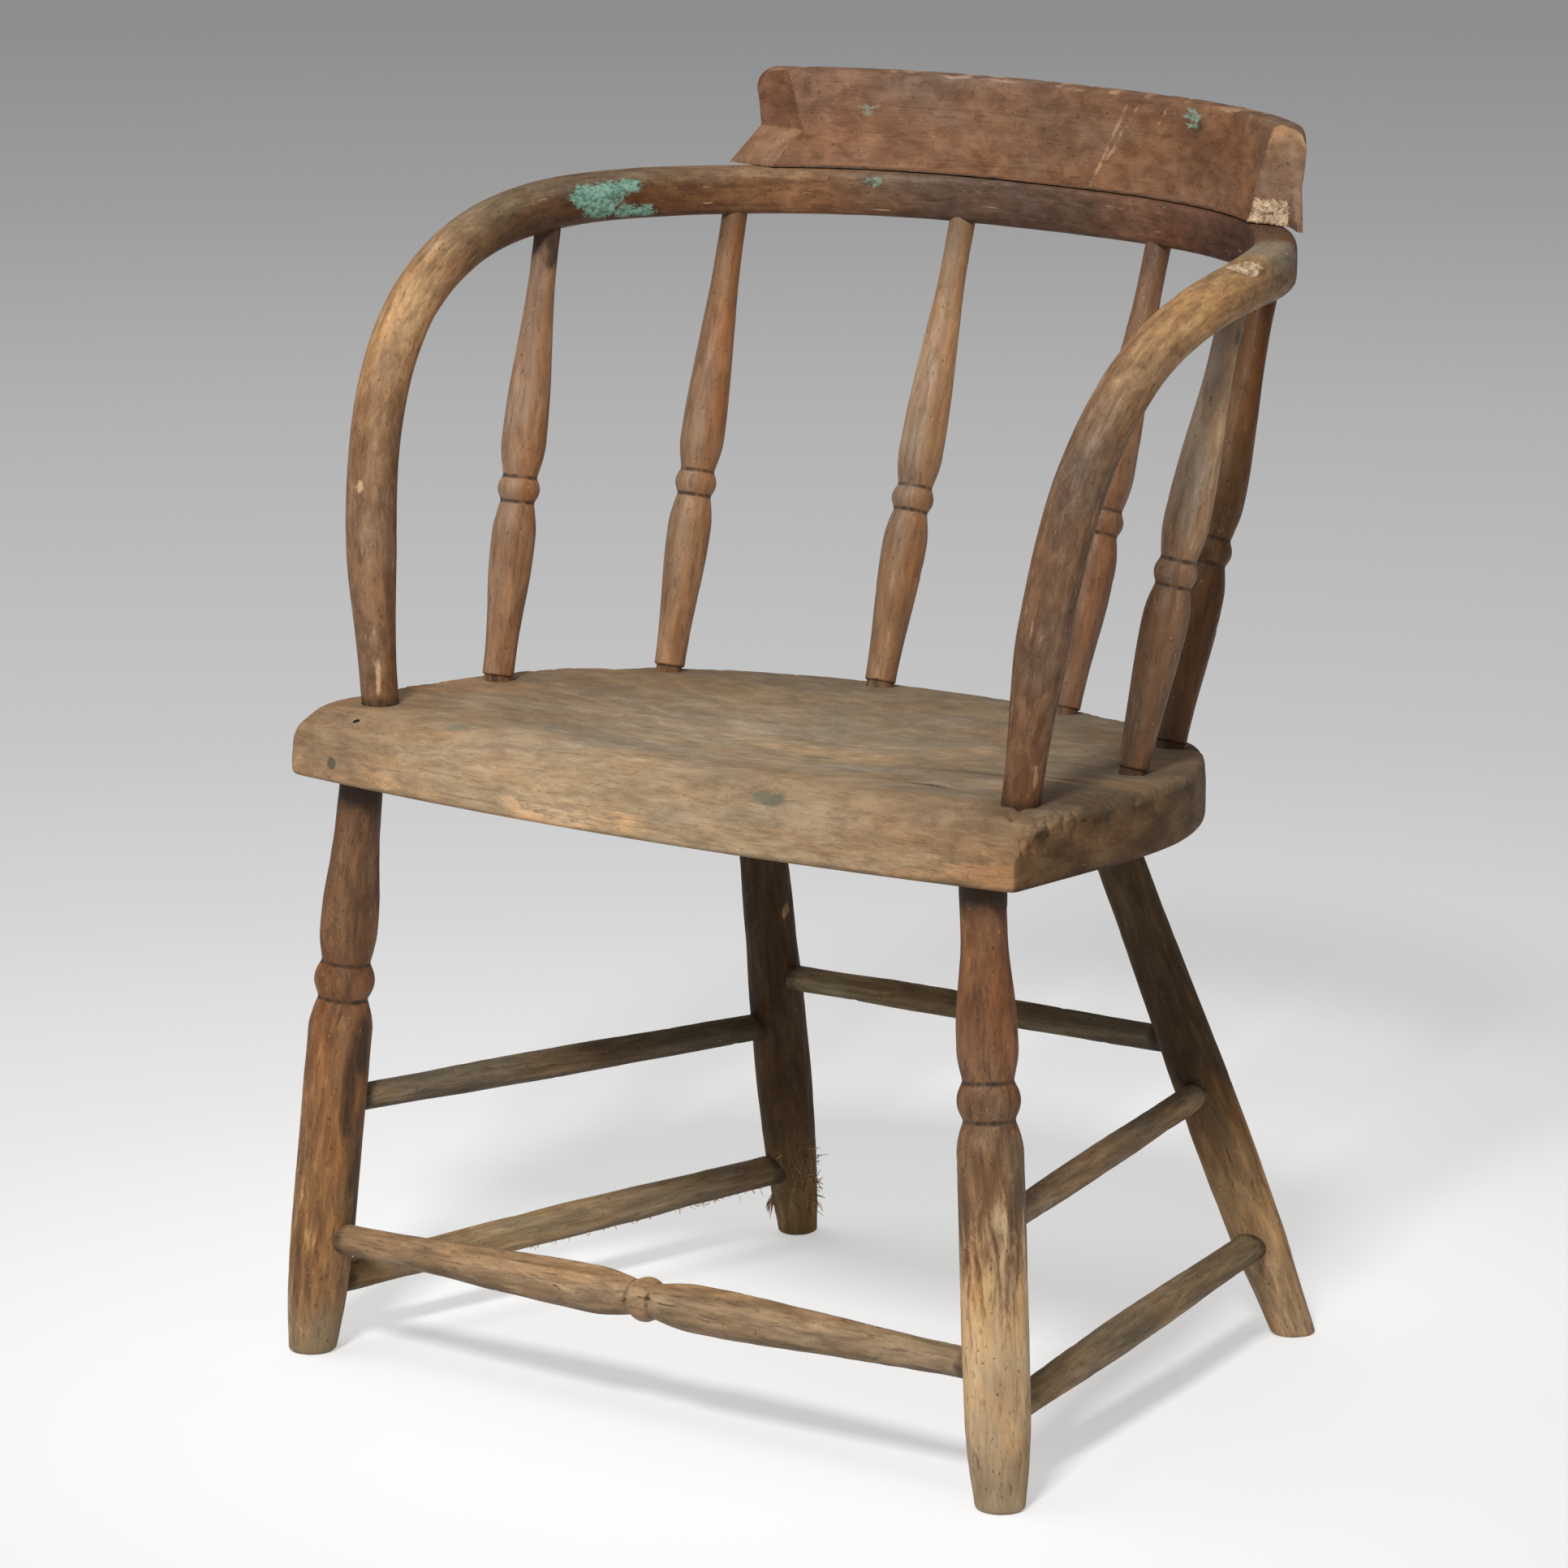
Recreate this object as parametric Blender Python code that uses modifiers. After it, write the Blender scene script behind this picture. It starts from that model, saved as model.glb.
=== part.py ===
# Bow-backed wooden armchair: saddled plank seat, one bent rail for the arms and back, turned legs and spindles.
# Metres, +Z up. The sitter faces -Y and the floor is at z = 0.
import math

import bmesh
import bpy
from mathutils import Vector

# Fit between every tenon and its socket
CLEARANCE = 0.0003

# Seat plank. Plan distances run back from the front feet.
SEAT_HEIGHT = 0.430  # top of the plank where the arms stand
SEAT_THICKNESS = 0.0432  # there
SEAT_TILT = math.radians(1.5)  # the top falls towards the back
SEAT_UNDERSIDE_TILT = math.radians(0.6)
SEAT_DROOP = 0.004  # and falls away by this much more at the back edge
SEAT_DROOP_Y = 0.200  # from here
SEAT_HALF_WIDTH = 0.2915
SEAT_CORNER_Y = -0.002  # front corners
SEAT_FRONT_BOW = 0.022  # the front edge swells forward of its corners by this much
SEAT_SPRING_Y = 0.100  # the sides are straight up to here
SEAT_BACK_DEPTH = 0.264  # from there to the back edge
SEAT_SQUARENESS = 2.35
SEAT_EDGE_ROUND = 0.006
ROLL_DEPTH = 0.048  # rolled front edge, a quarter oval
ROLL_DROP = 0.024
SADDLE_DEPTH = 0.010
SADDLE_CENTRE_Y = 0.165
SADDLE_HALF_WIDTH = 0.235
SADDLE_HALF_DEPTH = 0.150

# Bent bow, along the middle of its section
ARM_BASE_INSET = 0.0335  # from the side of the seat
ARM_BASE_Y = 0.049
ARM_TOP_Y = 0.336  # the arms stop rising here
ARM_SQUARENESS = 3.3
ARM_FLARE_POWER = 1.15  # the arms lean outwards, upright only at their tops
BOW_HEIGHT = 0.735
BOW_INSET = 0.0095  # widest place, in from the side of the seat
BOW_SPRING_Y = 0.106  # widest place, where the back starts to turn
BOW_OVERHANG = 0.087  # the back of the bow stands behind the seat by this much
BOW_SQUARENESS = 2.54
BOW_LEAN = math.radians(1.5)  # the bow has settled towards +X
BOW_RAIL_HEIGHT = 0.031  # flat-faced section across the back
BOW_RAIL_THICKNESS = 0.0278
RAIL_SQUARENESS = 5.0
RAIL_START_REACH = 0.391  # the round arm starts to flatten here, along the bow from the middle of its back
RAIL_FULL_REACH = 0.246
ARM_DIAMETER = 0.0332  # round section in the arms
ARM_FOOT_DIAMETER = 0.0245
ARM_FOOT_RISE = 0.012  # the foot keeps its size this far above the seat
ARM_SWELL_RISE = 0.115  # and reaches the arm's size here
ARM_TENON = 0.025

# Crest board on the back of the bow
CREST_HEIGHT = 0.0645
CREST_SETBACK = 0.004  # behind the middle of the bow
CREST_FRONT_RAKE = math.radians(12.0)
CREST_BACK_RAKE = math.radians(4.0)
CREST_ROUND = 0.004
CREST_BEVEL_SETBACK = 0.058  # front-facing bevel that ends the board, ahead of the back of the bow
CREST_RAMP_HEIGHT = 0.0245  # below this the bevel runs forward as a toe
CREST_TOE = 0.018
CREST_OVERRUN = 0.020  # curved length beyond the bevel, all cut away
CREST_CORNER_ROUND = 0.013

# Pegs between the crest and the bow
DOWEL_DIAMETER = 0.010
DOWEL_IN_BOW = 0.017
DOWEL_IN_CREST = 0.030
DOWEL_SPACING = 0.145

# Turned spindles
SPINDLE_FOOT_DIAMETER = 0.0205
SPINDLE_SWELL_DIAMETER = 0.0295
SPINDLE_NECK_DIAMETER = 0.0235
SPINDLE_BEAD_DIAMETER = 0.0280
SPINDLE_TENON_DIAMETER = 0.0150
SPINDLE_SHOULDER_RISE = 0.0055
SPINDLE_BEAD_RISE = 0.128
SPINDLE_BEAD_LENGTH = 0.0165
SPINDLE_LOWER_SWELL_DROP = 0.030  # widest place below the bead
SPINDLE_UPPER_SWELL_RISE = 0.032  # widest place above the bead
SPINDLE_SEAT_TENON = 0.018
SPINDLE_BOW_TENON = 0.019
# Places of the spindles: side, degrees round the seat's curved edge, inset from it, reach along the bow
SPINDLE_PLACES = {
    "left_side": (-1.0, 13.5, 0.0235, 0.387),
    "left_mid": (-1.0, 45.0, 0.016, 0.243),
    "left_back": (-1.0, 78.7, 0.020, 0.085),
    "right_back": (1.0, 76.8, 0.016, 0.075),
    "right_mid": (1.0, 42.5, 0.020, 0.232),
    "right_side": (1.0, 16.5, 0.035, 0.375),
}

# Front legs, turned. Heights are above the floor.
FRONT_FOOT_INSET = 0.010  # insets are from the side of the seat
FRONT_LEG_TOP_INSET = 0.0415
FRONT_LEG_SETBACK = 0.023
FRONT_LEG_TOP_DIAMETER = 0.029
FRONT_LEG_SWELL_DIAMETER = 0.038
FRONT_LEG_NECK_DIAMETER = 0.0312
FRONT_LEG_BEAD_DIAMETER = 0.039
FRONT_LEG_SHANK_DIAMETER = 0.0415
FRONT_FOOT_DIAMETER = 0.0315
FRONT_FOOT_TAPER_HEIGHT = 0.075
FRONT_LEG_BEAD_HEIGHT = 0.252
FRONT_LEG_BEAD_LENGTH = 0.024
FRONT_LEG_SWELL_RISE = 0.034
FRONT_LEG_SHOULDER_DROP = 0.034
FRONT_LEG_TENON = 0.017

# Rear legs, plain and raked
REAR_FOOT_INSET = 0.0825  # insets are from the side of the seat
REAR_FOOT_OVERHANG = 0.067  # behind the back edge of the seat
REAR_LEG_TOP_INSET = 0.1515
REAR_LEG_SETBACK = 0.072  # top, in from the back edge of the seat
REAR_LEG_TOP_DIAMETER = 0.031
REAR_LEG_SWELL_DIAMETER = 0.038
REAR_LEG_SWELL_HEIGHT = 0.130
REAR_FOOT_DIAMETER = 0.028
REAR_LEG_TENON = 0.024

# Stretchers. Each pair of heights is where one meets the middles of its two legs, front or left end first.
UPPER_STRETCHER_END_DIAMETER = 0.0180
UPPER_STRETCHER_SWELL_DIAMETER = 0.0195
UPPER_STRETCHER_HEIGHTS = {"left": (0.169, 0.166), "right": (0.1725, 0.1745)}
LOWER_STRETCHER_END_DIAMETER = 0.0205
LOWER_STRETCHER_SWELL_DIAMETER = 0.0235
LOWER_STRETCHER_HEIGHTS = {"left": (0.046, 0.053), "right": (0.056, 0.067)}
REAR_STRETCHER_END_DIAMETER = 0.0172
REAR_STRETCHER_SWELL_DIAMETER = 0.0190
REAR_STRETCHER_HEIGHTS = (0.204, 0.208)
FRONT_STRETCHER_END_DIAMETER = 0.0200
FRONT_STRETCHER_CLUB_DIAMETER = 0.0305
FRONT_STRETCHER_NECK_DIAMETER = 0.0215
FRONT_STRETCHER_BEAD_DIAMETER = 0.0290
FRONT_STRETCHER_BEAD_LENGTH = 0.018
FRONT_STRETCHER_CLUB_REACH = 0.042  # widest place of each club, out from the middle
FRONT_STRETCHER_HEIGHTS = (0.0785, 0.0865)
STRETCHER_ENTRY = 0.034  # plain length at each end, from the middle of the leg

# Fineness of the meshes
SPINDLE_SIDES = 12
LEG_SIDES = 16
STRETCHER_SIDES = 12
BOW_SIDES = 16
BOW_HALF_RINGS = 32
CURVE_SAMPLES = 240
CREST_HALF_RINGS = 11
CREST_CORNER_RINGS = 4
SEAT_FRONT_STEPS = 5
SEAT_SIDE_STEPS = 6
SEAT_BACK_STEPS = 9
SEAT_TOP_SHARES = (0.04, 0.08, 0.15, 0.25, 0.42, 0.62, 0.85)  # how far in the rings of the top lie
FRAME_STEP = 0.002
ARC_MIDDLE = 1.0 - math.sqrt(0.5)  # what is left of a rounding half way round it
SHARP_ANGLE = math.radians(38.0)

for old in list(bpy.data.objects):
    bpy.data.objects.remove(old, do_unlink=True)

chair = bpy.data.collections.new("bow_armchair")
cutters = bpy.data.collections.new("socket_cutters")
bpy.context.scene.collection.children.link(chair)
bpy.context.scene.collection.children.link(cutters)
origin = bpy.data.objects.new("chair_origin", None)
chair.objects.link(origin)


def wood(name, colour, roughness):
    material = bpy.data.materials.new(name)
    material.use_nodes = True
    shader = material.node_tree.nodes["Principled BSDF"]
    shader.inputs["Base Color"].default_value = (*colour, 1.0)
    shader.inputs["Roughness"].default_value = roughness
    shader.inputs["Metallic"].default_value = 0.0
    return material


def add_part(name, mesh, material):
    part = bpy.data.objects.new(name, mesh)
    mesh.materials.append(material)
    mesh.shade_smooth()
    mesh.set_sharp_from_angle(angle=SHARP_ANGLE)
    chair.objects.link(part)
    part.parent = origin
    return part


def add_cutter(name, mesh):
    cutter = bpy.data.objects.new(name, mesh)
    cutter.hide_render = True
    cutter.display_type = "WIRE"
    cutters.objects.link(cutter)
    cutter.parent = origin
    return cutter


def cut(part, cutter):
    modifier = part.modifiers.new("cut_" + cutter.name, "BOOLEAN")
    modifier.operation = "DIFFERENCE"
    modifier.solver = "EXACT"
    modifier.object = cutter


def mirrored(point, side):
    return Vector((side * point.x, point.y, point.z))


def squared_arc(angle, squareness):
    """Cosine and sine of an angle, pushed towards the corners as the squareness rises above 2."""
    power = 2.0 / squareness
    across = math.copysign(abs(math.cos(angle)) ** power, math.cos(angle))
    up = math.copysign(abs(math.sin(angle)) ** power, math.sin(angle))
    return across, up


def loft(name, rings):
    """Closed mesh through rings of equal point count, capped at both ends."""
    mesh = bpy.data.meshes.new(name)
    shape = bmesh.new()
    loops = [[shape.verts.new(point) for point in ring] for ring in rings]
    count = len(rings[0])
    for low, high in zip(loops, loops[1:]):
        for i in range(count):
            j = (i + 1) % count
            shape.faces.new((low[i], low[j], high[j], high[i]))
    shape.faces.new(reversed(loops[0]))
    shape.faces.new(loops[-1])
    bmesh.ops.recalc_face_normals(shape, faces=shape.faces)
    shape.to_mesh(mesh)
    shape.free()
    return mesh


# Turned work


def profile(marks):
    """Rings of a turned profile from its marks: distance along the axis, radius, way there and steps.

    A line is straight, a swell eases at both ends, and a round is a quarter round, flat at its wider end.
    """
    rings = [marks[0][:2]]
    for distance, radius, way, steps in marks[1:]:
        start, first = rings[-1]
        for step in range(1, steps + 1):
            t = step / steps
            share = t
            if way == "swell":
                share = 0.5 - 0.5 * math.cos(math.pi * t)
            elif way == "round" and radius > first:
                share = math.sin(0.5 * math.pi * t)
            elif way == "round":
                share = 1.0 - math.cos(0.5 * math.pi * t)
            rings.append((start + (distance - start) * t, first + (radius - first) * share))
    return rings


def turn(shape, sides):
    """Revolves a profile, a line at +X that runs from the top down, about the local Z axis."""
    screw = shape.modifiers.new("turn", "SCREW")
    screw.axis = "Z"
    screw.angle = 2.0 * math.pi
    screw.steps = sides
    screw.render_steps = sides
    screw.use_merge_vertices = True
    screw.merge_threshold = 0.00001
    screw.use_smooth_shade = True


def profile_mesh(name, rings):
    points = [(0.0, 0.0, rings[-1][0])]
    points += [(radius, 0.0, distance) for distance, radius in reversed(rings)]
    points.append((0.0, 0.0, rings[0][0]))
    mesh = bpy.data.meshes.new(name)
    mesh.from_pydata(points, [(i, i + 1) for i in range(len(points) - 1)], [])
    return mesh


def stand(shape, base, tip):
    shape.location = base
    shape.rotation_mode = "QUATERNION"
    shape.rotation_quaternion = (tip - base).to_track_quat("Z", "Y")


def turned_part(name, rings, sides, base, tip, material):
    part = add_part(name, profile_mesh(name, rings), material)
    turn(part, sides)
    stand(part, base, tip)
    return part


def socket_cutter(name, start, end, diameter, sides, base, tip):
    """Plug that bores the sockets of one stick, from start to end along its axis."""
    radius = 0.5 * diameter + CLEARANCE
    rings = [(start, radius), (end, radius)]
    cutter = add_cutter("socket_" + name, profile_mesh("socket_" + name, rings))
    turn(cutter, sides)
    stand(cutter, base, tip)
    return cutter


# Seat

SEAT_BACK_Y = SEAT_SPRING_Y + SEAT_BACK_DEPTH


def seat_plane(y):
    droop = max(y - SEAT_DROOP_Y, 0.0) / (SEAT_BACK_Y - SEAT_DROOP_Y)
    return SEAT_HEIGHT - math.tan(SEAT_TILT) * (y - ARM_BASE_Y) - SEAT_DROOP * droop * droop


def seat_underside(y):
    return SEAT_HEIGHT - SEAT_THICKNESS - math.tan(SEAT_UNDERSIDE_TILT) * (y - ARM_BASE_Y)


def seat_front(x):
    return SEAT_CORNER_Y - SEAT_FRONT_BOW * (1.0 - (x / SEAT_HALF_WIDTH) ** 2)


def seat_top(x, y):
    """Height of the finished top: tilted and drooping plank, less the front roll and the saddle."""
    ahead = 1.0 - min(max(y - seat_front(x), 0.0) / ROLL_DEPTH, 1.0)
    roll = ROLL_DROP * (1.0 - math.sqrt(1.0 - ahead * ahead))
    wide = x / SADDLE_HALF_WIDTH
    deep = (y - SADDLE_CENTRE_Y) / SADDLE_HALF_DEPTH
    saddle = SADDLE_DEPTH * max(1.0 - wide * wide - deep * deep, 0.0) ** 1.5
    return seat_plane(y) - roll - saddle


def seat_edge(angle):
    """Point of the curved edge, from the side (0) to the middle of the back (a quarter turn)."""
    across, back = squared_arc(angle, SEAT_SQUARENESS)
    return Vector((SEAT_HALF_WIDTH * across, SEAT_SPRING_Y + SEAT_BACK_DEPTH * back))


def seat_outline():
    right = []
    for i in range(SEAT_FRONT_STEPS):
        x = SEAT_HALF_WIDTH * i / SEAT_FRONT_STEPS
        right.append(Vector((x, seat_front(x))))
    for i in range(SEAT_SIDE_STEPS):
        share = (i / SEAT_SIDE_STEPS) ** 2
        right.append(Vector((SEAT_HALF_WIDTH, SEAT_CORNER_Y + (SEAT_SPRING_Y - SEAT_CORNER_Y) * share)))
    right += [seat_edge(0.5 * math.pi * i / SEAT_BACK_STEPS) for i in range(SEAT_BACK_STEPS)]
    right.append(Vector((0.0, SEAT_BACK_Y)))
    left = [Vector((-point.x, point.y)) for point in reversed(right[1:-1])]
    return right + left


def seat_mesh():
    outline = seat_outline()
    middle = Vector((0.0, SADDLE_CENTRE_Y))

    def ring(share, height):
        points = [middle + (point - middle) * (1.0 - share) for point in outline]
        return [(point.x, point.y, height(point.x, point.y)) for point in points]

    edge = SEAT_EDGE_ROUND / SEAT_HALF_WIDTH
    rings = [ring(edge, lambda x, y: seat_underside(y))]
    rings.append(ring(0.0, lambda x, y: seat_underside(y) + SEAT_EDGE_ROUND))
    rings.append(ring(0.0, lambda x, y: seat_top(x, y) - SEAT_EDGE_ROUND))
    rings.append(ring(ARC_MIDDLE * edge, lambda x, y: seat_top(x, y) - ARC_MIDDLE * SEAT_EDGE_ROUND))
    for share in (edge, *SEAT_TOP_SHARES):
        rings.append(ring(share, seat_top))
    return loft("seat", rings)


# Bow


def bow_rise(y):
    """Height of the bow at a distance from the front: a squared quarter arc in side view, then level."""
    ahead = min(max(ARM_TOP_Y - y, 0.0) / (ARM_TOP_Y - ARM_BASE_Y), 1.0)
    share = (1.0 - ahead ** ARM_SQUARENESS) ** (1.0 / ARM_SQUARENESS)
    return SEAT_HEIGHT + (BOW_HEIGHT - SEAT_HEIGHT) * share


BOW_HALF_WIDTH = SEAT_HALF_WIDTH - BOW_INSET
BOW_BACK_DEPTH = SEAT_BACK_Y + BOW_OVERHANG - BOW_SPRING_Y
ARM_BASE_X = SEAT_HALF_WIDTH - ARM_BASE_INSET
ARM_RISE = bow_rise(BOW_SPRING_Y) - SEAT_HEIGHT
ARM_FLARE = BOW_HALF_WIDTH - ARM_BASE_X
ARM_FOOT_DIRECTION = Vector((ARM_FLARE_POWER * ARM_FLARE / ARM_RISE, 0.0, 1.0)).normalized()


def bow_half_path():
    """Closely spaced points of the right half, from the middle of the back to the end of the arm's tenon."""
    path = []
    for i in range(CURVE_SAMPLES):
        across, back = squared_arc(0.5 * math.pi * (1.0 - i / CURVE_SAMPLES), BOW_SQUARENESS)
        y = BOW_SPRING_Y + BOW_BACK_DEPTH * back
        path.append(Vector((BOW_HALF_WIDTH * across, y, bow_rise(y))))
    path[0].x = 0.0
    for i in range(CURVE_SAMPLES + 1):
        share = (1.0 - i / CURVE_SAMPLES) ** 2
        up = share * ARM_RISE / (BOW_HEIGHT - SEAT_HEIGHT)
        ahead = (1.0 - up ** ARM_SQUARENESS) ** (1.0 / ARM_SQUARENESS)
        y = ARM_TOP_Y - (ARM_TOP_Y - ARM_BASE_Y) * ahead
        x = ARM_BASE_X + ARM_FLARE * (1.0 - (1.0 - share) ** ARM_FLARE_POWER)
        path.append(Vector((x, y, SEAT_HEIGHT + share * ARM_RISE)))
    path.append(path[-1] - ARM_FOOT_DIRECTION * ARM_TENON)
    return path


BOW_PATH = bow_half_path()
BOW_REACHES = [0.0]
for first, second in zip(BOW_PATH, BOW_PATH[1:]):
    BOW_REACHES.append(BOW_REACHES[-1] + (second - first).length)
BOW_HALF_LENGTH = BOW_REACHES[-1]
ARM_FOOT_REACH = BOW_HALF_LENGTH - ARM_TENON


def bow_point(reach):
    """Point of the right half at a distance along the bow from the middle of its back."""
    for i in range(1, len(BOW_REACHES)):
        if BOW_REACHES[i] >= reach or i == len(BOW_REACHES) - 1:
            share = (reach - BOW_REACHES[i - 1]) / (BOW_REACHES[i] - BOW_REACHES[i - 1])
            return BOW_PATH[i - 1].lerp(BOW_PATH[i], share)


def settled(point):
    """The bow and all on it lean towards +X, more the higher they stand, up to the top of the bow."""
    share = min(max(point.z - SEAT_HEIGHT, 0.0) / (BOW_HEIGHT - SEAT_HEIGHT), 1.0)
    lean = math.tan(BOW_LEAN) * share
    return Vector((point.x + lean * (BOW_HEIGHT - SEAT_HEIGHT), point.y, point.z - lean * point.x))


def bow_frame(reach):
    """Middle of the section, with its outward and upward directions."""
    low = max(reach - FRAME_STEP, 0.0)
    high = min(reach + FRAME_STEP, BOW_HALF_LENGTH)
    along = (bow_point(high) - bow_point(low)).normalized()
    middle = bow_point(reach)
    outward = Vector((1.0, 0.0, 0.0))
    if middle.y > BOW_SPRING_Y:
        outward = Vector((-along.y, along.x, 0.0))
    outward = (outward - along * outward.dot(along)).normalized()
    return middle, outward, outward.cross(along)


def ease(value, start, end):
    share = min(max((value - start) / (end - start), 0.0), 1.0)
    return share * share * (3.0 - 2.0 * share)


def bow_section(reach):
    """Half thickness, half height and squareness of the section."""
    swell = ease(ARM_FOOT_REACH - reach, ARM_FOOT_RISE, ARM_SWELL_RISE)
    arm = 0.5 * (ARM_FOOT_DIAMETER + (ARM_DIAMETER - ARM_FOOT_DIAMETER) * swell)
    rail = ease(reach, RAIL_START_REACH, RAIL_FULL_REACH)
    thick = arm + (0.5 * BOW_RAIL_THICKNESS - arm) * rail
    high = arm + (0.5 * BOW_RAIL_HEIGHT - arm) * rail
    return thick, high, 2.0 + (RAIL_SQUARENESS - 2.0) * rail


def bow_ring(reach, side, spare=0.0):
    middle, outward, upward = bow_frame(reach)
    thick, high, squareness = bow_section(reach)
    ring = []
    for i in range(BOW_SIDES):
        across, up = squared_arc(2.0 * math.pi * i / BOW_SIDES, squareness)
        point = middle + outward * across * (thick + spare) + upward * up * (high + spare)
        ring.append(settled(mirrored(point, side)))
    return ring


def bow_mesh():
    step = BOW_HALF_LENGTH / BOW_HALF_RINGS
    rings = [bow_ring(step * i, 1.0) for i in range(BOW_HALF_RINGS, 0, -1)]
    rings += [bow_ring(step * i, -1.0) for i in range(BOW_HALF_RINGS + 1)]
    return loft("bow", rings)


def arm_socket(side):
    """Plug of the arm's tenon with clearance, long enough to come out above the seat."""
    lean = mirrored(ARM_FOOT_DIRECTION, side)
    low = [point - lean * CLEARANCE for point in bow_ring(BOW_HALF_LENGTH, side, CLEARANCE)]
    high = [point + lean * (ARM_TENON + 2.0 * ROLL_DROP) for point in low]
    return loft("arm_socket", [low, high])


# Crest


CREST_BASE = BOW_HEIGHT + 0.5 * BOW_RAIL_HEIGHT + CLEARANCE
CREST_BEVEL_Y = SEAT_BACK_Y + BOW_OVERHANG - CREST_BEVEL_SETBACK


def crest_front(height):
    return CREST_SETBACK - 0.5 * BOW_RAIL_THICKNESS + height * math.tan(CREST_FRONT_RAKE)


def crest_back(height):
    return CREST_SETBACK + 0.5 * BOW_RAIL_THICKNESS + height * math.tan(CREST_BACK_RAKE)


def crest_end(across):
    """Distance along the bow at which the board, this far out from the bow's middle, meets the bevel."""
    reach = 0.0
    while reach < BOW_HALF_LENGTH:
        middle, outward, _ = bow_frame(reach)
        if middle.y + outward.y * across < CREST_BEVEL_Y:
            break
        reach += FRAME_STEP
    return reach


CREST_CORNER_REACH = crest_end(crest_back(CREST_HEIGHT)) - CREST_CORNER_ROUND


def crest_ring(reach, side):
    """Raked section of the board, rounded along its top edges, lower past the top corner."""
    middle, outward, _ = bow_frame(reach)
    over = min(max(reach - CREST_CORNER_REACH, 0.0) / CREST_CORNER_ROUND, 1.0)
    top = CREST_HEIGHT - CREST_CORNER_ROUND * (1.0 - math.sqrt(1.0 - over * over))
    small = ARC_MIDDLE * CREST_ROUND
    corner = ((0.0, CREST_ROUND), (small, small), (CREST_ROUND, 0.0))
    section = [(crest_front(0.0), 0.0), (crest_back(0.0), 0.0)]
    section += [(crest_back(top) - inset, top - drop) for inset, drop in corner]
    section += [(crest_front(top) + inset, top - drop) for inset, drop in reversed(corner)]
    ring = []
    for across, height in section:
        point = middle + outward * across
        ring.append(settled(Vector((side * point.x, point.y, CREST_BASE + height))))
    return ring


def crest_mesh():
    reaches = [CREST_CORNER_REACH * i / CREST_HALF_RINGS for i in range(CREST_HALF_RINGS + 1)]
    for i in range(1, CREST_CORNER_RINGS + 1):
        over = math.sin(0.5 * math.pi * i / CREST_CORNER_RINGS)
        reaches.append(CREST_CORNER_REACH + CREST_CORNER_ROUND * over)
    reaches.append(reaches[-1] + CREST_TOE + CREST_OVERRUN)
    rings = [crest_ring(reach, 1.0) for reach in reversed(reaches[1:])]
    rings += [crest_ring(reach, -1.0) for reach in reaches]
    return loft("crest", rings)


def crest_bevel():
    """Prism ahead of the crest, whose back face is the upright bevel with the toe below it."""
    ahead = BOW_SPRING_Y
    slope = CREST_TOE / CREST_RAMP_HEIGHT
    foot = CREST_BEVEL_Y - CREST_TOE - slope * BOW_RAIL_HEIGHT
    section = [(ahead, -BOW_RAIL_HEIGHT), (foot, -BOW_RAIL_HEIGHT), (CREST_BEVEL_Y, CREST_RAMP_HEIGHT)]
    section += [(CREST_BEVEL_Y, 2.0 * CREST_HEIGHT), (ahead, 2.0 * CREST_HEIGHT)]
    rings = []
    for x in (-2.0 * BOW_HALF_WIDTH, 2.0 * BOW_HALF_WIDTH):
        rings.append([settled(Vector((x, y, CREST_BASE + height))) for y, height in section])
    return loft("crest_bevel", rings)


def dowel_axis(reach, side):
    middle, outward, _ = bow_frame(reach)
    rake = 0.5 * (CREST_FRONT_RAKE + CREST_BACK_RAKE)
    lean = mirrored(outward * math.sin(rake) + Vector((0.0, 0.0, math.cos(rake))), side)
    base = mirrored(middle + outward * CREST_SETBACK, side)
    base.z = CREST_BASE
    base = settled(base)
    return base, base + lean


# Sticks


def leg_axis(foot, top, height):
    """Point of a leg's axis at a height above the floor."""
    return foot.lerp(top, (height - foot.z) / (top.z - foot.z))


def front_leg_rings(length):
    """Profile up from the floor; the heights are stretched to distances along the leaning axis."""
    stretch = length / FRONT_TOP.z
    neck = 0.5 * FRONT_LEG_NECK_DIAMETER
    bead = FRONT_LEG_BEAD_HEIGHT * stretch
    half = 0.5 * FRONT_LEG_BEAD_LENGTH
    shank = 0.5 * FRONT_LEG_SHANK_DIAMETER
    foot = 0.5 * FRONT_FOOT_DIAMETER
    marks = [(-FRONT_FOOT_DIAMETER, foot), (0.0, foot, "line", 1)]
    marks.append((FRONT_FOOT_TAPER_HEIGHT * stretch, shank, "round", 3))
    marks.append((bead - FRONT_LEG_SHOULDER_DROP, shank, "line", 1))
    marks.append((bead - half, neck, "round", 3))
    marks.append((bead, 0.5 * FRONT_LEG_BEAD_DIAMETER, "round", 3))
    marks.append((bead + half, neck, "round", 3))
    marks.append((bead + FRONT_LEG_SWELL_RISE, 0.5 * FRONT_LEG_SWELL_DIAMETER, "round", 3))
    marks.append((length - FRONT_LEG_TOP_DIAMETER, 0.5 * FRONT_LEG_TOP_DIAMETER, "swell", 4))
    marks.append((length + FRONT_LEG_TENON, 0.5 * FRONT_LEG_TOP_DIAMETER, "line", 1))
    return profile(marks)


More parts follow.
